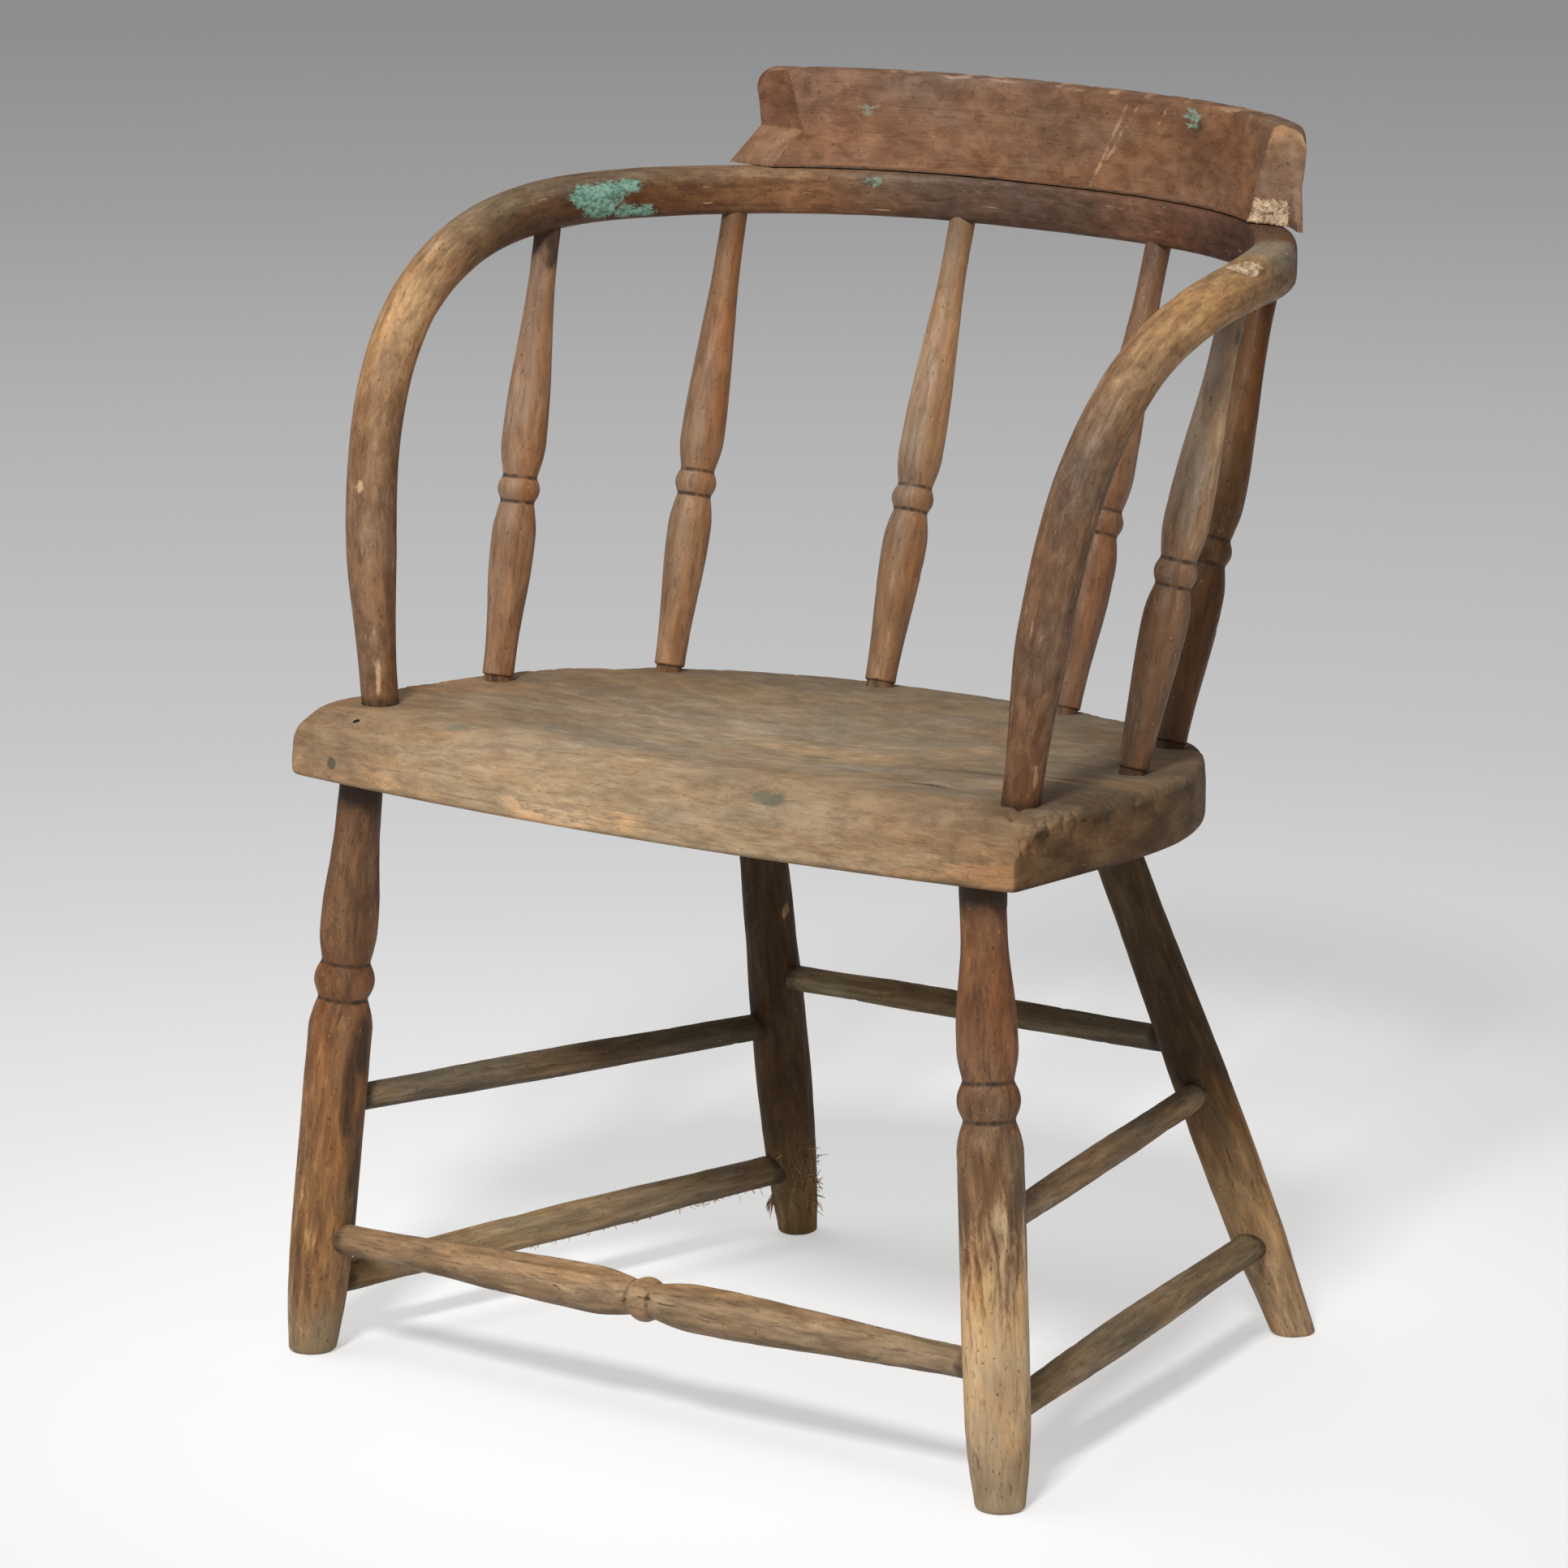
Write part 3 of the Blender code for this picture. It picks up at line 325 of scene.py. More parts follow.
    # small marks, dirt with painted shade, fresh breaks and paint lie over it in this order
    for key, tone in (("pore", "grime"), ("dash", "grime"), ("speck", "grime"), ("crack", "grime"),
                      ("scratch", "bareLight"), ("fleck", "bareLight")):
        colour = mixed(sums("MULTIPLY", mark[key], look[key + "Share"]), colour, look[tone])
    colour = mixed(sums("MULTIPLY", grime, rules["grimeShare"]), colour, look["grime"])
    freshTone = mixed(ranged(flaky, *rules["freshRange"]), look["freshDark"], look["freshLight"])
    colour = mixed(fresh, colour, freshTone)
    paintTone = mixed(ranged(flaky, *rules["paintRange"]), look["paintDark"], look["paintLight"])
    colour = mixed(sums("MULTIPLY", paint, rules["paintShare"]), colour, paintTone)
    place = tool(tree, "ShaderNodeTexCoord").outputs["Object"]
    for x, y, z, radius, soft, tone in look["spots"]:
        inputs = {0: place, 1: (x, y, z)}
        away = tool(tree, "ShaderNodeVectorMath", {"operation": "DISTANCE"}, inputs).outputs["Value"]
        away = shifted(away, patina, rules["spotRagged"] * radius)
        colour = mixed(ranged(away, radius + soft, radius), colour, tone)
    rough = sums("MULTIPLY_ADD", figure, rules["roughFigure"], look["rough"] + rules["roughLift"])
    rough = sums("MULTIPLY_ADD", bare, rules["roughBare"], rough)
    rough = sums("MULTIPLY_ADD", dust, rules["roughDust"], rough)
    height = 0.0
    for key, depth in rules["relief"].items():
        source = {**field, **mark, "paint": paint, "grime": grime}[key]
        height = sums("MULTIPLY_ADD", source, depth, height)
    inputs = {"Strength": look["bump"], "Distance": rules["reliefDepth"], "Height": height}
    bump = tool(tree, "ShaderNodeBump", {}, inputs)
    inputs = {"Base Color": colour, "Roughness": rough, "Normal": bump.outputs[0],
              "Specular IOR Level": look["gloss"]}
    shader = tool(tree, "ShaderNodeBsdfPrincipled", {}, inputs)
    tool(tree, "ShaderNodeOutputMaterial", {}, {"Surface": shader.outputs[0]})
    return material


# seat: plank with a rolled front edge, a shallow dish and worn edges
seat = dict(
    height=0.430, thickness=0.0432, tilt=math.radians(1.5), underTilt=math.radians(0.6), droop=0.004,
    droopY=0.200, halfWidth=0.2915, cornerY=-0.002, frontBow=0.022, springY=0.100, backDepth=0.264,
    square=2.35, edge=0.0045, lowEdge=0.004, rollDepth=0.048, rollDrop=0.024, dish=0.010, dishPower=1.5,
    dishY=0.165, dishWide=0.235, dishDeep=0.150, armY=0.049, around=900, topRows=58, topCrowding=1.35,
    turnRows=9, wallRows=13, sharp=40.0, cornerRub=(0.5, 0.010, 0.003), cornerPasses=5,
    outlineSteps=(200, 80, 400), underInner=(0.97, 0.25, 12), underOuter=(0.2, 8), sideRows=(6, 3),
    frontHeading=(0.55, 0.85), grainStretch=(1.0, 1.0, 2.4), grainStart=(0.4, 0.0, 0.0),
    # chips along the edge, torn fibres at the right front corner, furrows, hollows and dents
    chipReach=0.006, chipRise=0.012, chipCell=(0.010, 0.007, 0.008), chipFine=(0.004, 0.003, 0.004),
    chipFineShare=0.5, chipLift=0.05, chipLeast=0.25, chipX=(0.85, 0.20, 0.285), chipY=(0.20, 0.06),
    chipDrop=0.0055, chipIn=0.0030, chipSide=(0.24, 0.29), tearTurn=(0.8, 0.6),
    tearCell=(0.0045, 0.018, 0.05), tearX=(0.205, 0.262), tearY=(0.075, 0.040), tearDrop=0.0042,
    tearDirt=0.8, furrowCell=(0.075, 0.0055, 0.05), furrowLift=-0.05, furrowX=(0.10, 0.20),
    furrowNear=(0.03, 0.09), furrowFar=(0.27, 0.20), furrowDrop=0.0028, hollow=0.00060,
    hollowCell=(0.060, 0.014, 0.05), dent=0.00022, dentCell=(0.012, 0.005, 0.05), sideWave=0.0007,
    sideCell=(0.03, 0.03, 0.012),
    # bare wood on the rolled edge and at the scrapes, dirt in the furrows, dark spots on top that are dirt
    # stains and painted shadows near the arms, dust on top
    edgeBand=(0.060, 0.004), rub=0.34, rubCell=(0.07, 0.04, 0.02), rubDrop=(0.418, 0.398),
    rubEnds=(0.25, 0.22, 0.28), rubMiddle=-0.01, chipBare=0.72, sideDirt=0.22, furrowDirt=0.95,
    darkSpotShare=0.38, topDust=0.22,
    scrapes=((0.287, -0.207, 0.412, 0.004, 0.0020, 0.012, 0.95),
             (0.287, -0.179, 0.408, 0.004, 0.0018, 0.010, 0.8),
             (0.287, -0.153, 0.405, 0.004, 0.0024, 0.010, 0.8),
             (0.287, -0.130, 0.398, 0.004, 0.0018, 0.008, 0.7)),
    darkSpots=((-0.19, 0.16, 0.42, 0.09, 0.018, 0.1, 1.0), (-0.128, 0.047, 0.43, 0.07, 0.010, 0.1, 0.8),
            (0.151, 0.129, 0.42, 0.10, 0.022, 0.1, 1.0), (0.03, 0.205, 0.42, 0.11, 0.020, 0.1, 0.8),
            (0.17, 0.062, 0.43, 0.05, 0.010, 0.1, 0.8)),
    # tones from left to right; painted shade on the sides (partly their darker end grain) and underside, a
    # painted highlight on the front edge and dish rim, painted shade in the dish, at the back and right,
    # and a painted shadow of the right arm by its foot
    tones=((-0.3, (0.86, 0.68, 0.54)), (-0.2, (1.0, 0.95, 0.90)), (-0.05, (1.12, 1.14, 1.16)),
           (0.1, (1.0, 1.0, 1.0)), (0.22, (0.80, 0.75, 0.72)), (0.3, (0.60, 0.52, 0.46))),
    sideShade=(0.40, 0.48, 0.58), underShade=0.35, underBand=(0.004, 0.0005), sideMottle=0.45,
    sideMottleCell=(0.022, 0.022, 0.011), edgeLight=(0.18, 0.420, 0.398), rimLight=(0.10, -0.05, 0.16),
    dishShade=(0.12, 0.34, 0.22), dishFade=(0.22, 0.10), backShade=(0.34, 0.14, 0.32),
    rightShade=(0.20, 0.05, 0.22), rightFrom=(0.06, 0.2), mottle=0.13, mottleCell=(0.055, 0.030, 0.03),
    armFootShadow=((0.268, 0.090, 0.43, 0.060, 0.064, 0.10, 0.50),
             (0.258, 0.040, 0.43, 0.034, 0.036, 0.10, 0.36)))
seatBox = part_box("seat")
chairShift = np.array([seatBox[0][0] + seat["halfWidth"],
                       seatBox[0][1] - seat["cornerY"] + seat["frontBow"], 0.0])


def seatPlane(y):
    # tilted plank that falls off once more towards the back
    fall = np.maximum(y - seat["droopY"], 0.0) / (seat["springY"] + seat["backDepth"] - seat["droopY"])
    return seat["height"] - math.tan(seat["tilt"]) * (y - seat["armY"]) - seat["droop"] * fall * fall


def seatUnder(y):
    # the underside is flat and nearly level
    return seat["height"] - seat["thickness"] - math.tan(seat["underTilt"]) * (y - seat["armY"])


def seatFront(x):
    # the front edge swells forward as a parabola
    return seat["cornerY"] - seat["frontBow"] * (1.0 - (x / seat["halfWidth"]) ** 2)


def seatBowl(x, y):
    # 1 in the middle of the dish, 0 on its oval rim, falling as the square of the distance
    return 1.0 - (x / seat["dishWide"]) ** 2 - ((y - seat["dishY"]) / seat["dishDeep"]) ** 2


def seatTop(x, y):
    # plank less the roll, a quarter oval at the front, and less the dish, a power of the bowl
    ahead = 1.0 - np.clip((y - seatFront(x)) / seat["rollDepth"], 0.0, 1.0)
    roll = seat["rollDrop"] * (1.0 - np.sqrt(1.0 - ahead * ahead))
    return seatPlane(y) - roll - seat["dish"] * np.maximum(seatBowl(x, y), 0.0) ** seat["dishPower"]


def squaredArc(angle, square):
    # cosine and sine with both pushed towards the corner: powers of 2 / squareness
    power = 2.0 / square
    flat = np.sign(np.cos(angle)) * np.abs(np.cos(angle)) ** power
    tall = np.sign(np.sin(angle)) * np.abs(np.sin(angle)) ** power
    return flat, tall


def evenly(points, count):
    # the same closed line with its points at even steps of its length
    closed = np.concatenate([points, points[:1]])
    reach = np.concatenate([[0.0], np.cumsum(np.linalg.norm(np.diff(closed, axis=0), axis=1))])
    steps = np.linspace(0.0, reach[-1], count, endpoint=False)
    return np.stack([np.interp(steps, reach, closed[:, i]) for i in range(closed.shape[1])], -1)


def seatOutline():
    # right half from the middle of the front round to the middle of the back, then its mirror image
    frontSteps, sideSteps, backSteps = seat["outlineSteps"]
    x = np.linspace(0.0, seat["halfWidth"], frontSteps)
    front = np.stack([x, seatFront(x)], -1)
    y = np.linspace(seat["cornerY"], seat["springY"], sideSteps)[1:-1]
    side = np.stack([np.full_like(y, seat["halfWidth"]), y], -1)
    flat, tall = squaredArc(np.linspace(0.0, 0.5 * np.pi, backSteps), seat["square"])
    back = np.stack([seat["halfWidth"] * flat, seat["springY"] + seat["backDepth"] * tall], -1)
    right = np.concatenate([front, side, back])
    left = right[-2:0:-1] * [-1.0, 1.0]
    outline = evenly(np.concatenate([right, left]), seat["around"])
    corner = np.hypot(np.abs(outline[:, 0]) - seat["halfWidth"], outline[:, 1] - seat["cornerY"])
    worn = band(corner, *seat["cornerRub"])[:, None]  # the front corners are rubbed round
    for _ in range(seat["cornerPasses"]):
        outline = outline + worn * (0.5 * (np.roll(outline, 1, 0) + np.roll(outline, -1, 0)) - outline)
    return outline


def buildSeat():
    # skin of rings: out under the plank, up its side, over its edge and in across the top
    outline = seatOutline()
    middle = np.array([0.0, seat["dishY"]])
    edge, lowEdge = seat["edge"] / seat["halfWidth"], seat["lowEdge"] / seat["halfWidth"]
    turnIn = np.linspace(0.0, 0.5 * np.pi, seat["turnRows"])[1:]
    outer, outerRows = seat["underOuter"]
    under = [[1.0], np.linspace(*seat["underInner"]), np.linspace(outer, lowEdge, outerRows)]
    under = np.concatenate(under)
    inwards = np.linspace(0.0, 1.0, seat["topRows"])[1:] ** seat["topCrowding"]
    share = np.concatenate([under, lowEdge * (1.0 - np.sin(turnIn)), np.zeros(seat["wallRows"]),
                            edge * (1.0 - np.cos(turnIn)), edge + (1.0 - edge) * inwards])
    plan = middle + (outline - middle) * (1.0 - share)[:, None, None]
    x, y = plan[..., 0], plan[..., 1]
    low, high = seatUnder(y), seatTop(x, y)
    lift = np.concatenate([np.zeros(len(under)), 1.0 - np.cos(turnIn)])
    wall = np.linspace(0.0, 1.0, seat["wallRows"] + 2)[1:-1]
    drop = np.concatenate([1.0 - np.sin(turnIn), np.zeros(len(inwards))])
    wallStart, wallEnd = len(lift), len(lift) + len(wall)
    bottom = low[:wallStart] + seat["lowEdge"] * lift[:, None]
    first = seatUnder(outline[:, 1]) + seat["lowEdge"]
    last = seatTop(outline[:, 0], outline[:, 1]) - seat["edge"]
    sides = first + (last - first) * wall[:, None]
    top = high[wallEnd:] - seat["edge"] * drop[:, None]
    z = np.concatenate([bottom, sides, top])
    points = np.stack([x, y, z], -1)
    onTop = np.zeros(z.shape)
    onTop[wallEnd:] = 1.0
    onSide = np.zeros(z.shape)
    below, above = seat["sideRows"]
    onSide[wallStart - below:wallEnd + above] = 1.0  # the wall with the nearest rows of its rounded edges
    ahead = np.roll(outline, -1, 0) - np.roll(outline, 1, 0)
    onFront = eased(unit(ahead)[:, 0], *seat["frontHeading"]) + 0.0 * z
    # chips along the edge, most of them at the right front corner
    rimway = bell(share[:, None] * seat["halfWidth"], 0.0, seat["chipReach"])
    rimway = rimway * eased(z, seatUnder(y) + seat["chipRise"], high)
    chips = cloud(points, seat["chipCell"], 5) + seat["chipFineShare"] * cloud(points, seat["chipFine"], 18)
    chips = np.clip(chips + seat["chipLift"], 0.0, 1.0)
    chips = chips * rimway * (seat["chipLeast"] + band(x, *seat["chipX"]) * eased(y, *seat["chipY"]))
    points[..., 2] -= seat["chipDrop"] * chips
    points[..., 0] -= seat["chipIn"] * chips * np.sign(x) * eased(np.abs(x), *seat["chipSide"])
    # torn fibres slant across the right front corner
    flat, steep = seat["tearTurn"]
    slant = np.stack([flat * x + steep * y, flat * y - steep * x, z], -1)
    torn = np.clip(cloud(slant, seat["tearCell"], 9), 0.0, 1.0)
    torn = torn * onTop * eased(x, *seat["tearX"]) * eased(y, *seat["tearY"])
    points[..., 2] -= seat["tearDrop"] * torn
    # furrows along the grain on the right, then long hollows and small dents
    furrow = np.clip(cloud(points, seat["furrowCell"], 10) + seat["furrowLift"], 0.0, 1.0) * onTop
    furrow = furrow * eased(x, *seat["furrowX"]) * eased(y, *seat["furrowNear"])
    furrow = furrow * eased(y, *seat["furrowFar"])
    points[..., 2] -= seat["furrowDrop"] * furrow
    points[..., 2] += onTop * seat["hollow"] * cloud(points, seat["hollowCell"], 6)
    points[..., 2] += onTop * seat["dent"] * cloud(points, seat["dentCell"], 7)
    wave = onSide * seat["sideWave"] * cloud(points, seat["sideCell"], 8)
    points[..., :2] += wave[..., None] * unit(plan - middle + 1e-9)
    points += chairShift
    return points, onTop, onSide, onFront, chips, np.maximum(furrow, seat["tearDirt"] * torn)


seatFinish = woodFinish(
    "wornSeatWood", streak=(5.0, 110.0), fibre=(20.0, 640.0), broad=(14.0, 26.0), blotch=(16.0, 34.0),
    patina=(46.0, 66.0), dash=(26.0, 190.0), crack=(3.0, 230.0), scratch=(9.0, 330.0), byStreak=0.10,
    byFibre=0.07, crisp=0.70, hue=0.5, contrast=0.27, rough=0.68, gloss=0.14, patch=0.30,
    dark=(0.19, 0.134, 0.082), mid=(0.305, 0.218, 0.134), light=(0.42, 0.315, 0.20),
    bareDark=(0.37, 0.220, 0.112), bareLight=(0.50, 0.325, 0.190), dustDark=(0.22, 0.172, 0.112),
    dustLight=(0.38, 0.305, 0.205), grime=(0.075, 0.053, 0.032), dashShare=0.22, fleckShare=0.6,
    crackShare=0.3, speckShare=0.35, spots=(
        # the first, near-black spot is the painted shade of a small hole at the left front corner
        (-0.249, -0.214, 0.426, 0.0024, 0.0008, (0.012, 0.008, 0.005)),
        (-0.255, -0.232, 0.401, 0.0034, 0.0012, (0.12, 0.10, 0.07)),
        (-0.257, -0.230, 0.391, 0.0016, 0.001, (0.04, 0.03, 0.02)),
        (0.108, -0.233, 0.423, 0.0050, 0.005, (0.150, 0.132, 0.084)),
        (0.098, -0.231, 0.424, 0.004, 0.005, (0.17, 0.146, 0.09)),
        (-0.171, -0.204, 0.430, 0.005, 0.005, (0.24, 0.205, 0.13))))
points, onTop, onSide, onFront, chipped, furrow = buildSeat()
local = points - chairShift
x, y, z = local[..., 0], local[..., 1], local[..., 2]
sideFace = onSide * (1.0 - onFront) * (1.0 - onTop)
underside = eased(z - seatUnder(y), *seat["underBand"]) * (1.0 - onTop)
frontEdge = eased(y - seatFront(x), *seat["edgeBand"]) * (1.0 - sideFace)
rubbed = seat["rub"] + seat["rub"] * cloud(local, seat["rubCell"], 14)
rubbed = rubbed + band(np.abs(x - seat["rubMiddle"]), *seat["rubEnds"])
bareness = frontEdge * eased(z, *seat["rubDrop"]) * rubbed * (1.0 - sideFace)
bareness = np.maximum(bareness, seat["chipBare"] * chipped)
bareness = np.maximum(bareness, spots(points, seat["scrapes"]))
tone = along(seat["tones"], x)
# painted shade on the side faces, which also have darker end grain, and on the underside
shade = sideFace[..., None] * np.array(seat["sideShade"]) + seat["underShade"] * underside[..., None]
tone = tone * (1.0 - shade)
tone = tone * (1.0 + seat["sideMottle"] * sideFace * cloud(local, seat["sideMottleCell"], 19))[..., None]
# painted highlight on the upper part of the rolled front edge
tone = tone * (1.0 + frontEdge * band(z, *seat["edgeLight"]))[..., None]
# painted highlight on the dish's rim and painted shade in its hollow
rim, deep = seat["rimLight"], seat["dishShade"]
dishShading = rim[0] * bell(seatBowl(x, y), *rim[1:]) - deep[0] * bell(seatBowl(x, y), *deep[1:])
tone = tone * (1.0 + onTop * dishShading * eased(y, *seat["dishFade"]))[..., None]
# painted shadow of the right arm on the seat beside its foot
tone = tone * (1.0 - onTop * spots(local, seat["armFootShadow"]))[..., None]
# painted shade towards the back and towards the right
backAndRightShade = band(y, *seat["backShade"]) + band(x, *seat["rightShade"]) * eased(y, *seat["rightFrom"])
tone = tone * (1.0 - onTop * backAndRightShade)[..., None]
tone = mottled(tone, local, 15, seat["mottle"], seat["mottleCell"])
darkMarks = seat["sideDirt"] * sideFace + seat["furrowDirt"] * furrow
# dark spots on top: dirt stains, and painted shadows near the arms
darkMarks = darkMarks + seat["darkSpotShare"] * onTop * spots(local, seat["darkSpots"])
wear = layers(bareness, darkMarks, seat["topDust"] * onTop * (1.0 - frontEdge), 0.0, like=x)
grain = local * seat["grainStretch"] + seat["grainStart"]
makePiece("seatPlank", [gridPart(points, True, grain, wear, shades(tone))], seatFinish, ["seat"],
          seat["sharp"])
print("seat done")


# bow: one bent rail for the arms and the back
bow = dict(
    baseInset=0.0335, baseY=0.049, topY=0.336, armSquare=3.3, flarePower=1.15, height=0.735,
    halfWidth=0.282, springY=0.106, backDepth=0.345, square=2.54, lean=math.radians(1.5), railHeight=0.031,
    railThick=0.0278, railSquare=5.0, railStart=0.391, railFull=0.246, armWide=0.0332, footWide=0.0245,
    footRise=0.012, swellRise=0.115, tenon=0.018, pathSteps=900, headingStep=0.002, rows=1040, sides=72,
    sharp=50.0, grainStart=(0.0, 0.3, 0.0),
    # uneven section, and the flake broken out of the top at the right corner
    uneven=0.020, unevenCell=(0.05, 0.02, 0.02), dents=0.008, dentCell=(0.012, 0.006, 0.006),
    flake=((0.281, 0.020, 0.743, 0.017, 0.027, 0.013, 1.0),), flakeRagged=0.6, flakeCell=0.006,
    flakeDrop=0.0016, flakeRough=0.0012, flakeRoughCell=0.004, flakeFresh=0.85,
    # tones along the bow from the left foot to the right one, measured from the middle of the back
    tones=((-0.80, (0.95, 0.88, 0.85)), (-0.70, (1.15, 1.15, 1.2)), (-0.62, (1.1, 1.1, 1.06)),
           (-0.53, (2.35, 2.3, 1.95)), (-0.48, (0.98, 0.92, 0.80)), (-0.44, (0.45, 0.42, 0.37)),
           (-0.40, (0.52, 0.44, 0.38)), (-0.36, (0.47, 0.36, 0.29)), (-0.285, (0.62, 0.52, 0.46)),
           (-0.20, (1.12, 0.95, 0.82)), (-0.10, (0.50, 0.52, 0.69)), (0.02, (0.61, 0.57, 0.64)),
           (0.06, (0.82, 0.65, 0.65)), (0.10, (0.63, 0.46, 0.45)), (0.20, (0.29, 0.20, 0.18)),
           (0.27, (0.50, 0.44, 0.42)), (0.33, (1.2, 1.35, 1.25)), (0.45, (1.95, 1.78, 1.28)),
           (0.58, (0.70, 0.76, 0.90)), (0.80, (0.70, 0.62, 0.58))),
    # pale upper edge, most of it on the left; painted shade on the lower edge, least at the left bend
    upperBand=(0.003, 0.012), upperEnd=(0.62, 0.45), upperLeast=0.08, upperLeft=(0.92, -0.02, -0.24),
    upperTone=(0.28, 0.50, 0.64), lowerBand=(0.002, -0.012), lowerEnd=(0.50, 0.42), lowerShade=0.24,
    bendLight=(0.20, -0.24, -0.31), bendEnd=(-0.50, -0.42), mottle=0.17, mottleCell=(0.09, 0.010, 0.010),
    # bare arms, dirt round the feet, a dark knot, dust on the upper edge and on the right corner
    bareArm=(0.12, 0.40, 0.52), footDirt=(0.55, 0.014, 0.0), knot=0.5, knotReach=(-0.262, 0.007),
    knotRise=(0.003, 0.006), upperDust=0.15, cornerDust=((0.260, 0.080, 0.742, 0.05, 0.065, 0.022, 0.72),),
    greenPatch=((-0.250, 0.023, 0.744, 0.03, 0.022, 0.014, 0.95),
                (-0.245, 0.042, 0.746, 0.03, 0.026, 0.012, 0.95),
                (-0.240, 0.058, 0.749, 0.03, 0.018, 0.008, 0.9),
                (-0.247, 0.036, 0.735, 0.03, 0.024, 0.012, 1.0),
                (-0.241, 0.056, 0.732, 0.03, 0.022, 0.009, 0.9),
                (-0.237, 0.069, 0.731, 0.03, 0.016, 0.008, 0.85),
                (-0.135, 0.187, 0.748, 0.013, 0.012, 0.010, 0.55),
                (-0.108, 0.199, 0.747, 0.006, 0.01, 0.006, 0.45)),
    scrapes=((-0.269, -0.185, 0.574, 0.004, 0.006, 0.009, 0.62),
             (-0.256, -0.185, 0.450, 0.003, 0.005, 0.022, 0.6),
             (0.268, -0.181, 0.451, 0.003, 0.005, 0.024, 0.62),
             (0.262, -0.184, 0.475, 0.003, 0.005, 0.02, 0.58)))
bowLift = bow["height"] - seat["height"]


def bowRise(y):
    # height of the rail: a squared quarter arc in side view, then level
    ahead = np.clip((bow["topY"] - y) / (bow["topY"] - bow["baseY"]), 0.0, 1.0)
    return seat["height"] + bowLift * (1.0 - ahead ** bow["armSquare"]) ** (1.0 / bow["armSquare"])


def bowPath():
    # right half from the middle of the back: a squared quarter oval in plan,
    # then the arm down to its foot and tenon
    rest = bow["topY"] - bow["baseY"]
    baseX = seat["halfWidth"] - bow["baseInset"]
    turn = np.linspace(0.5 * np.pi, 0.0, bow["pathSteps"], endpoint=False)
    flat, tall = squaredArc(turn, bow["square"])
    y = bow["springY"] + bow["backDepth"] * tall
    back = np.stack([bow["halfWidth"] * flat, y, bowRise(y)], -1)
    back[0, 0] = 0.0
    armRise = bowRise(bow["springY"]) - seat["height"]
    share = np.linspace(1.0, 0.0, bow["pathSteps"]) ** 2
    ahead = (1.0 - (share * armRise / bowLift) ** bow["armSquare"]) ** (1.0 / bow["armSquare"])
    x = baseX + (bow["halfWidth"] - baseX) * (1.0 - (1.0 - share) ** bow["flarePower"])
    arm = np.stack([x, bow["topY"] - rest * ahead, seat["height"] + share * armRise], -1)
    down = unit(np.array([bow["flarePower"] * (bow["halfWidth"] - baseX) / armRise, 0.0, 1.0]))
    return np.concatenate([back, arm, arm[-1:] - down * bow["tenon"]])


bowLine = bowPath()
bowReach = np.concatenate([[0.0], np.cumsum(np.linalg.norm(np.diff(bowLine, axis=0), axis=1))])
bowHalf = bowReach[-1]


def bowPoint(reach):
    # point of the right half at a distance along it from the middle of the back
    return np.stack([np.interp(reach, bowReach, bowLine[:, i]) for i in range(3)], -1)


def bowFrame(reach):
    # middle of the section with its outward and downward directions
    step = bow["headingStep"]
    way = unit(bowPoint(np.minimum(reach + step, bowHalf)) - bowPoint(np.maximum(reach - step, 0.0)))
    middle = bowPoint(reach)
    inPlan = np.stack([-way[..., 1], way[..., 0], np.zeros_like(reach)], -1)
    outward = np.where((middle[..., 1] > bow["springY"])[..., None], inPlan, np.array([1.0, 0.0, 0.0]))
    outward = unit(outward - way * np.sum(outward * way, -1, keepdims=True))
    return middle, outward, np.cross(outward, way)


def bowSection(reach):
    # half thickness, half height and squareness:
    # round in the arms, flat-faced across the back, thin at the foot
    swell = eased(bowHalf - bow["tenon"] - reach, bow["footRise"], bow["swellRise"])
    arm = 0.5 * (bow["footWide"] + (bow["armWide"] - bow["footWide"]) * swell)
    rail = eased(reach, bow["railStart"], bow["railFull"])
    thick = arm + (0.5 * bow["railThick"] - arm) * rail
    tall = arm + (0.5 * bow["railHeight"] - arm) * rail
    return thick, tall, 2.0 + (bow["railSquare"] - 2.0) * rail


def settled(points):
    # everything above the seat leans to the right in proportion to its height, up to the rail,
    # and dips on that side
    x, y, z = points[..., 0], points[..., 1], points[..., 2]
    lean = math.tan(bow["lean"]) * np.clip((z - seat["height"]) / bowLift, 0.0, 1.0)
    return np.stack([x + lean * bowLift, y, z - lean * x], -1)


def buildBow():
    # the section carried along the path from the left foot to the right one
    reach = np.linspace(-bowHalf, bowHalf, bow["rows"])
    side = np.where(reach < 0.0, -1.0, 1.0)
    far = np.abs(reach)
    middle, outward, downward = bowFrame(far)
    thick, tall, square = bowSection(far)
    angle = np.linspace(0.0, 2.0 * np.pi, bow["sides"], endpoint=False)
    flat, low = squaredArc(angle[None, :] + 1e-9, square[:, None])
    across, down = flat * thick[:, None], low * tall[:, None]
    local = np.stack([np.broadcast_to(reach[:, None], across.shape), across, down], -1)
    worn = 1.0 + bow["uneven"] * cloud(local, bow["unevenCell"], 11)
    worn = worn + bow["dents"] * cloud(local, bow["dentCell"], 12)
    across, down = across * worn, down * worn
    points = middle[:, None] + outward[:, None] * across[..., None] + downward[:, None] * down[..., None]
    points[..., 0] *= side[:, None]
    points = settled(points)
    ends = np.repeat(points[[0, -1]].mean(1, keepdims=True), bow["sides"], 1)
    points = np.concatenate([ends[:1], points, ends[1:]]) + chairShift
    local = np.concatenate([local[:1] * [1.0, 0.0, 0.0], local, local[-1:] * [1.0, 0.0, 0.0]])
    ragged = 1.0 + bow["flakeRagged"] * cloud(points, bow["flakeCell"], 17)
    flake = np.clip(spots(points, bow["flake"]) * ragged, 0.0, 1.0)
    depth = bow["flakeDrop"] + bow["flakeRough"] * cloud(points, bow["flakeRoughCell"], 16)
    points[..., 2] -= flake * depth
    return points, local, flake


